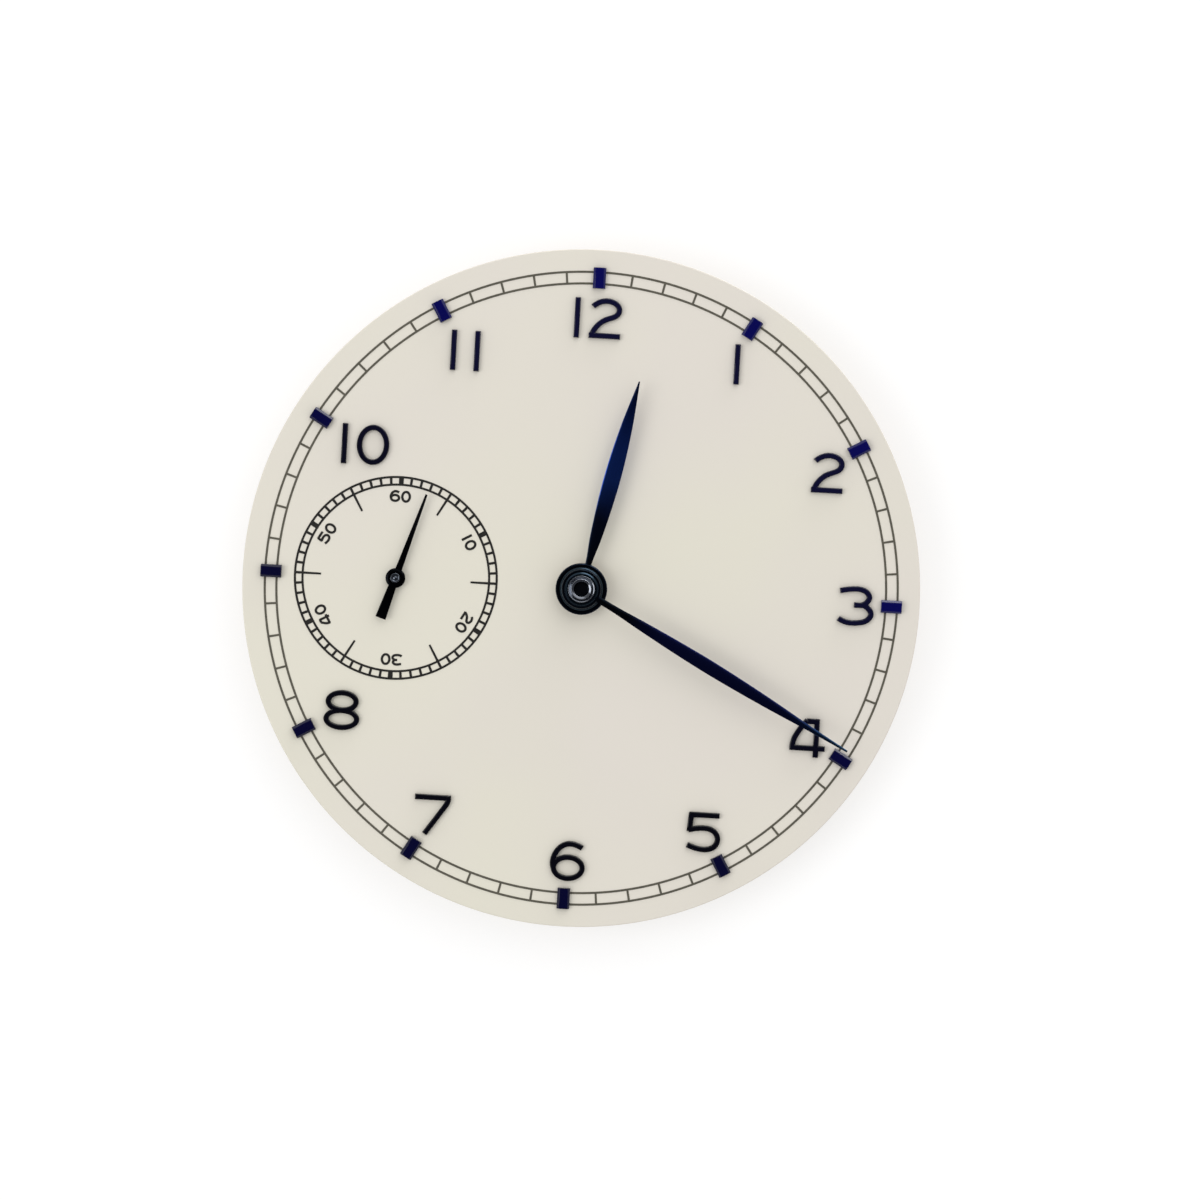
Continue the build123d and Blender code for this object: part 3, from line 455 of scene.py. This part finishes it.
# %% Gilt plate, copper, screws and ruby
gilt_plate, tree, shader = start_finish("frosted_gilt_brass", "#C7A25E", Metallic=1.0, Roughness=0.38)
place = add_node(tree, "ShaderNodeTexCoord").outputs["Object"]
frost = add_node(tree, "ShaderNodeTexNoise", Vector=place, Scale=per_size(0.14), Detail=4.0)
bath = add_node(tree, "ShaderNodeTexNoise", Vector=place, Scale=per_size(9), Detail=2.0)
gilt = add_node(tree, "ShaderNodeMix", {"data_type": "RGBA"}, _0=bath.outputs[0],
                _6=hex_colour("#CFB07A"), _7=hex_colour("#C29F62"))
tree.links.new(gilt.outputs[2], shader.inputs["Base Color"])
bump = add_node(tree, "ShaderNodeBump", Height=frost.outputs[0], Strength=0.5, Distance=0.006 * MM)
tree.links.new(bump.outputs[0], shader.inputs["Normal"])

scratched = {}
for name, colour, roughness in (("drawn_copper", "#C47B56", 0.30), ("polished_screw_steel", "#B4B7BD", 0.18)):
    scratched[name], tree, shader = start_finish(name, colour, Metallic=1.0, Roughness=roughness)
    place = add_node(tree, "ShaderNodeTexCoord").outputs["Object"]
    marks = add_node(tree, "ShaderNodeTexNoise", Vector=place, Scale=per_size(0.08), Detail=3.0)
    bump = add_node(tree, "ShaderNodeBump", Height=marks.outputs[0], Strength=0.2, Distance=0.002 * MM)
    tree.links.new(bump.outputs[0], shader.inputs["Normal"])

ruby, tree, shader = start_finish("polished_ruby", "#B3142E", Roughness=0.04, IOR=1.76, Transmission_Weight=0.8)
place = add_node(tree, "ShaderNodeTexCoord").outputs["Object"]
bloom = add_node(tree, "ShaderNodeTexNoise", Vector=place, Scale=per_size(0.4), Detail=1.0)
red = add_node(tree, "ShaderNodeMix", {"data_type": "RGBA"}, _0=bloom.outputs[0],
               _6=hex_colour("#A8102A"), _7=hex_colour("#C41C3A"))
tree.links.new(red.outputs[2], shader.inputs["Base Color"])
print(gilt_plate.name, list(scratched), ruby.name)

# %% [markdown]
# ## From a drawing to a piece
#
# Every new piece is drawn as a bmesh in millimetres and ends the same way: it becomes metres, gets soft
# shading that stays crisp at its corners, rides on the body of the solid that it stands for and takes
# that solid's place. Solids whose shape is already right are copied with their loose triangles joined,
# which lets round walls shade round. A Boolean joins or cuts where two shapes meet.

# %% Helpers for pieces
weld_gap = 0.0004
crisp_degrees = 32
level_normal = 0.99999


def finish_piece(name, shape, node, *finishes, flat_area=1e9):
    """Turn a bmesh in millimetres into an object that stands for a solid, with its finishes.

    Level faces, and any face larger than flat_area in square millimetres, are shaded flat.
    """
    bmesh.ops.remove_doubles(shape, verts=shape.verts, dist=weld_gap)
    bmesh.ops.scale(shape, vec=(MM, MM, MM), verts=shape.verts)
    open_edges = sum(not edge.is_manifold for edge in shape.edges)
    mesh = bpy.data.meshes.new(name)
    shape.to_mesh(mesh)
    shape.free()
    mesh.shade_smooth()
    mesh.set_sharp_from_angle(angle=radians(crisp_degrees))
    for face in mesh.polygons:
        face.use_smooth = abs(face.normal.z) < level_normal and face.area < flat_area * MM**2
    for finish in finishes:
        mesh.materials.append(finish)
    piece = bpy.data.objects.new(name, mesh)
    bpy.context.scene.collection.objects.link(piece)
    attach(piece, body_of[node])
    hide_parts(node)
    print(name, len(mesh.polygons), "faces,", open_edges, "open edges")
    return piece


def joined_copy(node):
    """A bmesh of a solid's surface in millimetres, with its triangles joined along their edges."""
    shape = bmesh.new()
    shape.from_mesh(frame["nodes"][node].data)
    bmesh.ops.scale(shape, vec=(1 / MM, 1 / MM, 1 / MM), verts=shape.verts)
    bmesh.ops.remove_doubles(shape, verts=shape.verts, dist=weld_gap)
    return shape


# %% Helpers for shapes
def new_points(result):
    """The points among what an operator made."""
    return [item for item in result["geom"] if isinstance(item, bmesh.types.BMVert)]


def level_faces(shape, level):
    """The faces that lie flat and face up at a level."""
    return [face for face in shape.faces
            if face.normal.z > 0.99 and abs(face.calc_center_median().z - level) < 0.004]


def crease_edges(shape, angle=35):
    """The edges at which the surface turns by more than an angle in degrees."""
    return [edge for edge in shape.edges
            if len(edge.link_faces) == 2 and edge.calc_face_angle() > radians(angle)]


def bevel_rims(shape, edges, width, segments=3):
    """Round some edges by a width in millimetres."""
    bmesh.ops.bevel(shape, geom=edges, offset=width, offset_type="OFFSET", affect="EDGES",
                    segments=segments, profile=0.5, material=-1, clamp_overlap=True)


def combined(first, second, operation="UNION"):
    """Join two closed shapes in millimetres, or cut the second from the first, into one bmesh."""
    pair = []
    for shape in (first, second):
        mesh = bpy.data.meshes.new("part")
        shape.to_mesh(mesh)
        shape.free()
        pair.append(bpy.data.objects.new("part", mesh))
        bpy.context.scene.collection.objects.link(pair[-1])
    boolean = pair[0].modifiers.new("boolean", "BOOLEAN")
    boolean.operation, boolean.object, boolean.solver = operation, pair[1], "EXACT"
    result = bmesh.new()
    result.from_object(pair[0], bpy.context.evaluated_depsgraph_get())
    for item in pair:
        mesh = item.data
        bpy.data.objects.remove(item)
        bpy.data.meshes.remove(mesh)
    return result


print("pieces are welded at", weld_gap, "mm and crisp above", crisp_degrees, "degrees")

# %% [markdown]
# ## Applied numerals
#
# Each numeral is cut from sheet, its upper rim is rounded on a buff, and its feet go through the dial. The
# joined copy has the right outline and a flat top. A bevel would stumble over the many short edges of the
# curves. An inset takes the whole top at once: the top is sunk, then stepped inwards and back up, and the
# steps make a rounded shoulder. The feet's lower rims are noted, because the dial gets its holes there.

# %% Numerals
shoulder_steps = ((0.012, 0.036), (0.018, 0.022), (0.026, 0.012))
shoulder_rise = sum(upward for inward, upward in shoulder_steps)
foot_rims = []
for word in ("one", "two", "three", "four", "five", "six", "seven", "eight", "ten", "eleven", "twelve"):
    node = "numeral_" + word
    shape = joined_copy(node)
    top = level_faces(shape, levels(node)[1])
    bmesh.ops.translate(shape, vec=(0, 0, -shoulder_rise),
                        verts=list({vert for face in top for vert in face.verts}))
    for inward, upward in shoulder_steps:
        bmesh.ops.inset_region(shape, faces=top, thickness=inward, depth=upward, use_even_offset=True,
                               use_boundary=True)
    soles = [face for face in shape.faces if face.calc_center_median().z < dial_back + 0.001]
    foot_rims += [vert.co.xy for face in soles for vert in face.verts]
    finish_piece("applied_" + word, shape, node, navy["gloss_dark_navy_lacquer"])
print("rim points of numeral feet:", len(foot_rims))

# %% [markdown]
# ## Hour markers
#
# A marker is a short block with both long edges bevelled, on a round foot. One block is drawn at twelve
# o'clock, bevelled, joined to its foot and then spun round the dial eleven times.

# %% Hour markers
marker_count, marker_ring = 12, 17.62
marker_width, marker_length, marker_height = 0.72, 1.18, 0.32
marker_bevel, marker_break, marker_foot = 0.12, 0.018, 0.15
shape = bmesh.new()
block = bmesh.ops.create_cube(shape, size=1)["verts"]
bmesh.ops.scale(shape, vec=(marker_width, marker_length, marker_height), verts=block)
foot_top = dial_face + marker_height / 2
bmesh.ops.translate(shape, vec=(0, marker_ring, foot_top), verts=block)
long_edges = [edge for edge in shape.edges if edge.calc_length() > marker_length * 0.99
              and edge.verts[0].co.z > foot_top]
bevel_rims(shape, long_edges, marker_bevel, segments=1)
bevel_rims(shape, crease_edges(shape, 30), marker_break, segments=2)
peg = bmesh.new()
bmesh.ops.create_cone(peg, cap_ends=True, segments=32, radius1=marker_foot, radius2=marker_foot,
                      depth=foot_top - dial_back,
                      matrix=Matrix.Translation((0, marker_ring, (foot_top + dial_back) / 2)))
shape = combined(shape, peg)
bmesh.ops.spin(shape, geom=shape.verts[:] + shape.edges[:] + shape.faces[:], cent=(0, 0, 0), axis=(0, 0, -1),
               angle=radians(360 / marker_count * (marker_count - 1)), steps=marker_count - 1,
               use_duplicate=True)
finish_piece("applied_markers", shape, "hour_markers", navy["gloss_navy_lacquer"], flat_area=0.05)

# %% [markdown]
# ## Printed tracks
#
# A railway track is two circles joined by ticks. Drawn line by line, every crossing would overlap. Here a
# row of points is swept once round the dial through one arc after another: an arc of plain line keeps the
# two outer bands, an arc as wide as a tick keeps them all, and an arc under a marker keeps none. What is
# left is raised by the thickness of the ink.

# %% Helpers for printed rings
ink_thickness = levels("minute_track")[1] - dial_face
finest_arc = 0.6


def printed_ring(axis, radii, arcs):
    """A ring of ink about an axis, from arcs of (degrees, bands that are inked), clockwise from twelve."""
    shape = bmesh.new()
    row = [shape.verts.new((axis.x, axis.y + radius, dial_face)) for radius in radii]
    end = row + [shape.edges.new(pair) for pair in zip(row, row[1:])]
    for angle, inked in arcs:
        before = set(shape.faces)
        end = bmesh.ops.spin(shape, geom=end, cent=axis, axis=(0, 0, -1), angle=radians(angle),
                             steps=max(1, round(angle / finest_arc)))["geom_last"]
        bare = []
        for face in set(shape.faces) - before:
            out = (face.calc_center_median() - axis).xy.length
            if sum(out < radius for radius in radii) - 1 not in inked:
                bare.append(face)
        bmesh.ops.delete(shape, geom=bare, context="FACES_ONLY")
    bmesh.ops.remove_doubles(shape, verts=shape.verts, dist=0.0005)
    bmesh.ops.delete(shape, geom=[edge for edge in shape.edges if not edge.link_faces], context="EDGES")
    lifted = new_points(bmesh.ops.extrude_face_region(shape, geom=shape.faces[:]))
    bmesh.ops.translate(shape, vec=(0, 0, ink_thickness), verts=lifted)
    bmesh.ops.recalc_face_normals(shape, faces=shape.faces)
    return shape


def marked_arcs(marks, turn, plain):
    """Arcs for one repeat of a ring: marks are (degrees, width in degrees, bands), the rest is plain line."""
    arcs, reached = [], 0
    for place, width, bands in marks:
        low, high = max(place - width / 2, 0), min(place + width / 2, turn)
        if low > reached:
            arcs.append((low - reached, plain))
        arcs.append((high - low, bands))
        reached = high
    return arcs


print("ink", round(ink_thickness, 3), "mm thick")

# %% Printed tracks
lines, across, no_ink = {0, 2}, {0, 1, 2}, set()
hour_step, minute_step = 30, 6
minute_radii, minute_middle = (18.03, 17.91, 17.37, 17.25), 17.64
minute_tick, marker_cover = degrees(0.12 / minute_middle), degrees(marker_width / minute_middle)
marks = [(minute_step * minute, minute_tick, across) for minute in range(1, 5)]
marks = [(0, marker_cover, no_ink), *marks, (hour_step, marker_cover, no_ink)]
shape = printed_ring(hand_axis, minute_radii, 12 * marked_arcs(marks, hour_step, lines))
finish_piece("printed_minute_track", shape, "minute_track", inks["warm_grey_print"])

long_tick = across | {3}
ten_step, second_step = 60, 6
seconds_radii, seconds_middle = (5.785, 5.665, 5.355, 5.235, 4.245), 5.51
second_tick, ten_block = degrees(0.14 / seconds_middle), degrees(0.27 / seconds_middle)
marks = [(second_step * second, second_tick, long_tick if second == 5 else across) for second in range(1, 10)]
marks = [(0, ten_block, across), *marks, (ten_step, ten_block, across)]
shape = printed_ring(seconds_axis, seconds_radii, 6 * marked_arcs(marks, ten_step, lines))
finish_piece("printed_seconds_track", shape, "seconds_track", inks["black_print"])
frame["nodes"]["seconds_figures"].data.materials.clear()
frame["nodes"]["seconds_figures"].data.materials.append(inks["black_print"])

# %% [markdown]
# ## Turned pieces
#
# Everything round in a watch is turned in a lathe, and spinning a profile is the same operation. The
# profile is a closed line of radius and height. After the spin its sharp circles are rounded, because a
# polished edge always catches a thin bright ring of light.

# %% Lathe
sliver_area = 1e-9


def turn_profile(shape, axis, profile, steps=128):
    """Spin a closed profile of (radius, height) points about an upright axis, in millimetres."""
    row = [shape.verts.new((axis.x + radius, axis.y, height)) for radius, height in profile]
    edges = [shape.edges.new(pair) for pair in zip(row, row[1:] + row[:1])]
    bmesh.ops.spin(shape, geom=row + edges, cent=(*axis.xy, 0), axis=(0, 0, 1), angle=2 * pi, steps=steps,
                   use_merge=True)
    bmesh.ops.remove_doubles(shape, verts=shape.verts, dist=weld_gap)
    flat = [face for face in shape.faces if face.calc_area() < sliver_area]
    bmesh.ops.delete(shape, geom=flat, context="FACES")
    bmesh.ops.delete(shape, geom=[edge for edge in shape.edges if not edge.link_faces], context="EDGES")
    bmesh.ops.recalc_face_normals(shape, faces=shape.faces)


def turned_piece(name, node, axis, profile, finish, rim=0.02):
    """A finished turned piece with its sharp circles rounded."""
    shape = bmesh.new()
    turn_profile(shape, axis, profile)
    bevel_rims(shape, crease_edges(shape), rim)
    return finish_piece(name, shape, node, finish)


# %% Collets and tube
low, high = levels("hour_hand_collet")
turned_piece("hour_collet_turned", "hour_hand_collet", hand_axis, (
    (1.00, low), (1.23, low), (1.23, high - 0.10), (1.14, high), (1.00, high),
), blued_collet_steel)

low, high = levels("minute_hand_collet")
step = high - 0.16
shape = bmesh.new()
turn_profile(shape, hand_axis, (
    (0.575, low), (0.95, low), (0.95, step - 0.08), (0.86, step), (0.75, step),
    (0.75, high - 0.015), (0.735, high), (0.715, high - 0.008), (0.595, high - 0.056), (0.575, high - 0.064),
))
bevel_rims(shape, crease_edges(shape), 0.015)
for face in shape.faces:
    middle = face.calc_center_median()
    face.material_index = int(middle.z > step + 0.03 or middle.xy.length < 0.6)
finish_piece("minute_collet_turned", shape, "minute_hand_collet", blued_collet_steel, centre_steel)

low, high = levels("seconds_hand_tube")
turned_piece("seconds_tube_turned", "seconds_hand_tube", seconds_axis, (
    (0.15, low), (0.27, low), (0.27, high), (0.19, high), (0.15, high - 0.04),
), seconds_steel)

# %% Arbors
tail, collar = 0.60, 0.90
foot, tip = levels("centre_arbor")
cannon_foot, cannon_top = levels("cannon_pinion")
# The arbor takes the steel with the painted shade of its hole.
turned_piece("centre_arbor_turned", "centre_arbor", hand_axis, (
    (0, foot), (0.42, foot), (0.42, foot + tail), (0.95, foot + tail), (0.95, foot + collar),
    (0.60, foot + collar), (0.60, cannon_foot), (0.41, cannon_foot), (0.41, tip - 0.04), (0.36, tip), (0, tip),
), arbor_steel)

foot, tip = levels("seconds_arbor")
turned_piece("seconds_arbor_turned", "seconds_arbor", seconds_axis, (
    (0, foot), (0.32, foot), (0.32, foot + tail), (0.50, foot + tail), (0.50, foot + collar),
    (0.15, foot + collar), (0.15, tip - 0.05), (0.08, tip - 0.01), (0, tip),
), seconds_steel, rim=0.012)

# %% [markdown]
# ## Cannon pinion
#
# Its leaves are hobbed and its body is turned. The joined copy keeps the leaves, and a plane cuts the body
# off above them. A new body is turned with a countersunk mouth, which shines on the side away from the
# window, and a Boolean joins it to the leaves. The plane cuts a hair under the leaves' top, because a
# Boolean goes astray where two faces lie in one plane.

# %% Cannon pinion
leaf_top = cannon_foot + 0.32
shape = joined_copy("cannon_pinion")
cut = bmesh.ops.bisect_plane(shape, geom=shape.verts[:] + shape.edges[:] + shape.faces[:], dist=0.0001,
                             plane_co=(0, 0, leaf_top - 0.001), plane_no=(0, 0, 1),
                             clear_outer=True)["geom_cut"]
bmesh.ops.triangle_fill(shape, edges=[item for item in cut if isinstance(item, bmesh.types.BMEdge)],
                        use_beauty=True, normal=(0, 0, 1))
body = bmesh.new()
body_foot, seat_foot = leaf_top - 0.05, levels("minute_hand_collet")[0]
turn_profile(body, hand_axis, (
    (0.432, body_foot), (0.62, body_foot), (0.62, seat_foot), (0.575, seat_foot), (0.575, cannon_top - 0.02),
    (0.555, cannon_top), (0.545, cannon_top), (0.525, cannon_top - 0.008), (0.45, cannon_top - 0.038),
    (0.432, cannon_top - 0.0455),
))
bevel_rims(body, crease_edges(body), 0.012)
finish_piece("cannon_pinion_turned", combined(shape, body), "cannon_pinion", centre_steel)

# %% [markdown]
# ## Leaf hands
#
# The hands are stamped leaves, slightly crowned across, with a ring at the root that grips a collet. The
# blade is a grid whose points are moved out to the leaf's outline and up to its crown, then extruded down
# to a flat back. The outline is a smooth curve through a few half widths, given as shares of the length
# and of the width. The ring is turned. A Boolean joins the two, so the surface is closed.

# %% Helpers for hands
def turn_to(shape, bearing, axis=hand_axis):
    """Turn a shape drawn towards twelve o'clock clockwise to its bearing about an axis."""
    bmesh.ops.rotate(shape, cent=axis, matrix=Matrix.Rotation(-radians(bearing), 3, "Z"), verts=shape.verts)


def eye_ring(axis, inner, outer, foot, top):
    """A ring about an axis with a rounded upper side."""
    shape = bmesh.new()
    wide, tall = outer - inner, top - foot
    turn_profile(shape, axis, (
        (inner, foot), (outer, foot), (outer, foot + 0.45 * tall), (outer - 0.10 * wide, foot + 0.75 * tall),
        (outer - 0.30 * wide, top - 0.02 * tall), (inner + 0.15 * wide, top), (inner, top - 0.06 * tall),
    ))
    return shape


def leaf_blade(root, length, width, shares, foot, top):
    """A crowned leaf towards twelve o'clock, from a root radius to its full length."""
    shape = bmesh.new()
    bmesh.ops.create_grid(shape, x_segments=12, y_segments=72, size=1)
    along, half = zip(*shares)
    slopes = np.gradient(half, along)
    for vert in shape.verts:
        reach = root + (length - root) * (vert.co.y + 1) / 2
        share = reach / length
        spot = min(max(np.searchsorted(along, share) - 1, 0), len(along) - 2)
        gap = along[spot + 1] - along[spot]
        t = min(max((share - along[spot]) / gap, 0), 1)
        edge = ((2 * t**3 - 3 * t**2 + 1) * half[spot] + (t**3 - 2 * t**2 + t) * gap * slopes[spot]
                + (3 * t**2 - 2 * t**3) * half[spot + 1] + (t**3 - t**2) * gap * slopes[spot + 1])
        across = vert.co.x
        crown = (top - foot) * (0.78 + 0.22 * (1 - across**2))
        vert.co = (across * edge * width / 2, reach, foot + crown)
    for vert in new_points(bmesh.ops.extrude_face_region(shape, geom=shape.faces[:])):
        vert.co.z = foot
    bmesh.ops.recalc_face_normals(shape, faces=shape.faces)
    upper = [edge for edge in crease_edges(shape, 50) if min(vert.co.z for vert in edge.verts) > foot + 0.01]
    bevel_rims(shape, upper, 0.014, segments=2)
    return shape


# %% Leaf hands
def leaf_hand(name, node, bearing, root, length, width, shares, collet, eye, finish):
    """A hand at its bearing: a leaf joined to a ring from the collet's radius out to the eye's."""
    foot, top = levels(node)
    blade = leaf_blade(root, length, width, shares, foot + 0.004, top - 0.012)
    shape = combined(eye_ring(hand_axis, collet, eye, foot, top), blade)
    turn_to(shape, bearing)
    return finish_piece(name, shape, node, finish)


hour_shares = ((0.06, 0.32), (0.14, 0.41), (0.23, 0.67), (0.34, 0.86), (0.54, 1.00), (0.78, 0.71), (1.00, 0.08))
minute_shares = ((0.05, 0.46), (0.12, 0.49), (0.23, 0.72), (0.34, 0.90), (0.47, 1.00), (0.62, 0.88),
                 (0.74, 0.67), (0.84, 0.42), (1.00, 0.14))
leaf_hand("hour_leaf", "hour_hand", bearing=12.3, root=1.33, length=12.15, width=0.94,
          shares=hour_shares, collet=1.23, eye=1.46, finish=blued_hour_steel)
leaf_hand("minute_leaf", "minute_hand", bearing=118.1, root=1.03, length=17.55, width=0.785,
          shares=minute_shares, collet=0.95, eye=1.12, finish=blued_minute_steel)

# %% [markdown]
# ## Seconds hand
#
# The small hand is a straight taper with a broad counterweight. Each arm starts as one face with four
# corners, is given its thickness by extruding, and has its long upper edges broken. A Boolean joins the
# arms to their ring.

# %% Seconds hand
def straight_arm(near_width, far_width, near_end, far_end, foot, top, edge_break=0.03):
    """A tapering bar along twelve o'clock with its upper edges rounded."""
    shape = bmesh.new()
    corners = ((-near_width / 2, near_end), (near_width / 2, near_end),
               (far_width / 2, far_end), (-far_width / 2, far_end))
    face = shape.faces.new([shape.verts.new((x, y, foot)) for x, y in corners])
    raised = new_points(bmesh.ops.extrude_face_region(shape, geom=[face]))
    bmesh.ops.translate(shape, vec=(0, 0, top - foot), verts=raised)
    bmesh.ops.recalc_face_normals(shape, faces=shape.faces)
    upper = [edge for edge in shape.edges if min(vert.co.z for vert in edge.verts) > foot + 0.01]
    bevel_rims(shape, upper, edge_break)
    return shape


foot, top = levels("seconds_hand")
arm = {"foot": foot + 0.004, "top": top - 0.010}
needle = straight_arm(near_width=0.3906, far_width=0.13, near_end=0.36, far_end=5.05, **arm)
weight = straight_arm(near_width=0.45, far_width=0.61, near_end=-0.36, far_end=-2.42, **arm)
ring = eye_ring(hand_axis, inner=0.27, outer=0.56, foot=foot, top=top)
shape = combined(combined(ring, needle), weight)
turn_to(shape, bearing=17.2)
bmesh.ops.translate(shape, vec=seconds_axis, verts=shape.verts)
finish_piece("seconds_needle", shape, "seconds_hand", blackened_steel)

# %% [markdown]
# ## The dial blank
#
# The blank is the widest piece, and its rim is what the eye follows, so it is turned afresh with many more
# steps than the solid has. Its holes are cut with a Boolean: one for the seconds arbor, the others where
# the feet of the markers and numerals go through. The lacquer covers the top and its rounded rim. The
# wall and the back stay brass.

# %% Holes in the dial
seconds_hole, foot_hole, marker_clearance = 0.40, 0.13, 0.01
foot_reach, drill_length = 0.30, 1.2
holes = [(seconds_axis.xy, seconds_hole)]
for marker in range(marker_count):
    bearing = radians(360 / marker_count * marker)
    holes.append((Vector((sin(bearing), cos(bearing))) * marker_ring, marker_foot + marker_clearance))
while foot_rims:
    rim = [point for point in foot_rims if (point - foot_rims[0]).length < foot_reach]
    foot_rims = [point for point in foot_rims if (point - foot_rims[0]).length >= foot_reach]
    low = Vector((min(p.x for p in rim), min(p.y for p in rim)))
    high = Vector((max(p.x for p in rim), max(p.y for p in rim)))
    holes.append(((low + high) / 2, foot_hole))
print("holes to drill:", len(holes))

# %% Dial blank
centre_hole, rim_break = 1.25, 0.06
shape = bmesh.new()
turn_profile(shape, hand_axis, (
    (centre_hole, dial_back), (dial_radius, dial_back), (dial_radius, dial_face), (centre_hole, dial_face),
), steps=256)
outer_rim = [edge for edge in crease_edges(shape)
             if min(vert.co.xy.length for vert in edge.verts) > dial_radius - 0.01
             and min(vert.co.z for vert in edge.verts) > dial_face - 0.01]
bevel_rims(shape, outer_rim, rim_break, segments=4)
drill = bmesh.new()
for middle, radius in holes:
    bmesh.ops.create_cone(drill, cap_ends=True, segments=40, radius1=radius, radius2=radius,
                          depth=drill_length,
                          matrix=Matrix.Translation((*middle, (dial_back + dial_face) / 2)))
shape = combined(shape, drill, "DIFFERENCE")
for face in shape.faces:
    face.material_index = 0 if face.normal.z > 0.2 else 1
finish_piece("lacquered_dial", shape, "dial_plate", cream_lacquer, brass_blank)

# %% [markdown]
# ## Pieces whose shape is already right
#
# The plate, its bearings, the motion work and the fixings keep their solids' shapes. Their round walls
# were made of flat facets, so they are copied with their triangles joined and shaded smooth. Only the
# plate's outer wall has a second finish, its turned edge.

# %% Joined copies
kept_shapes = {
    "main_plate": ("gilt_plate", gilt_plate),
    "centre_bush": ("bronze_bush", bush_bronze),
    "seconds_jewel": ("ruby_jewel", ruby),
    "minute_wheel_post": ("steel_post", post_steel),
    "dial_feet": ("copper_feet", scratched["drawn_copper"]),
    "dial_foot_screws": ("steel_foot_screws", scratched["polished_screw_steel"]),
    "dial_washer": ("sprung_washer", hour_wheel_brass),
    "minute_wheel": ("grained_minute_wheel", minute_wheel_brass),
    "minute_pinion": ("cut_minute_pinion", post_steel),
    "hour_wheel": ("grained_hour_wheel", hour_wheel_brass),
}
outer_wall = 18
for node, (name, *finishes) in kept_shapes.items():
    shape = joined_copy(node)
    if node == "main_plate":
        finishes.append(gilt_edge)
        for face in shape.faces:
            upright = abs(face.normal.z) < 0.2
            face.material_index = int(upright and face.calc_center_median().xy.length > outer_wall)
    finish_piece(name, shape, node, *finishes)
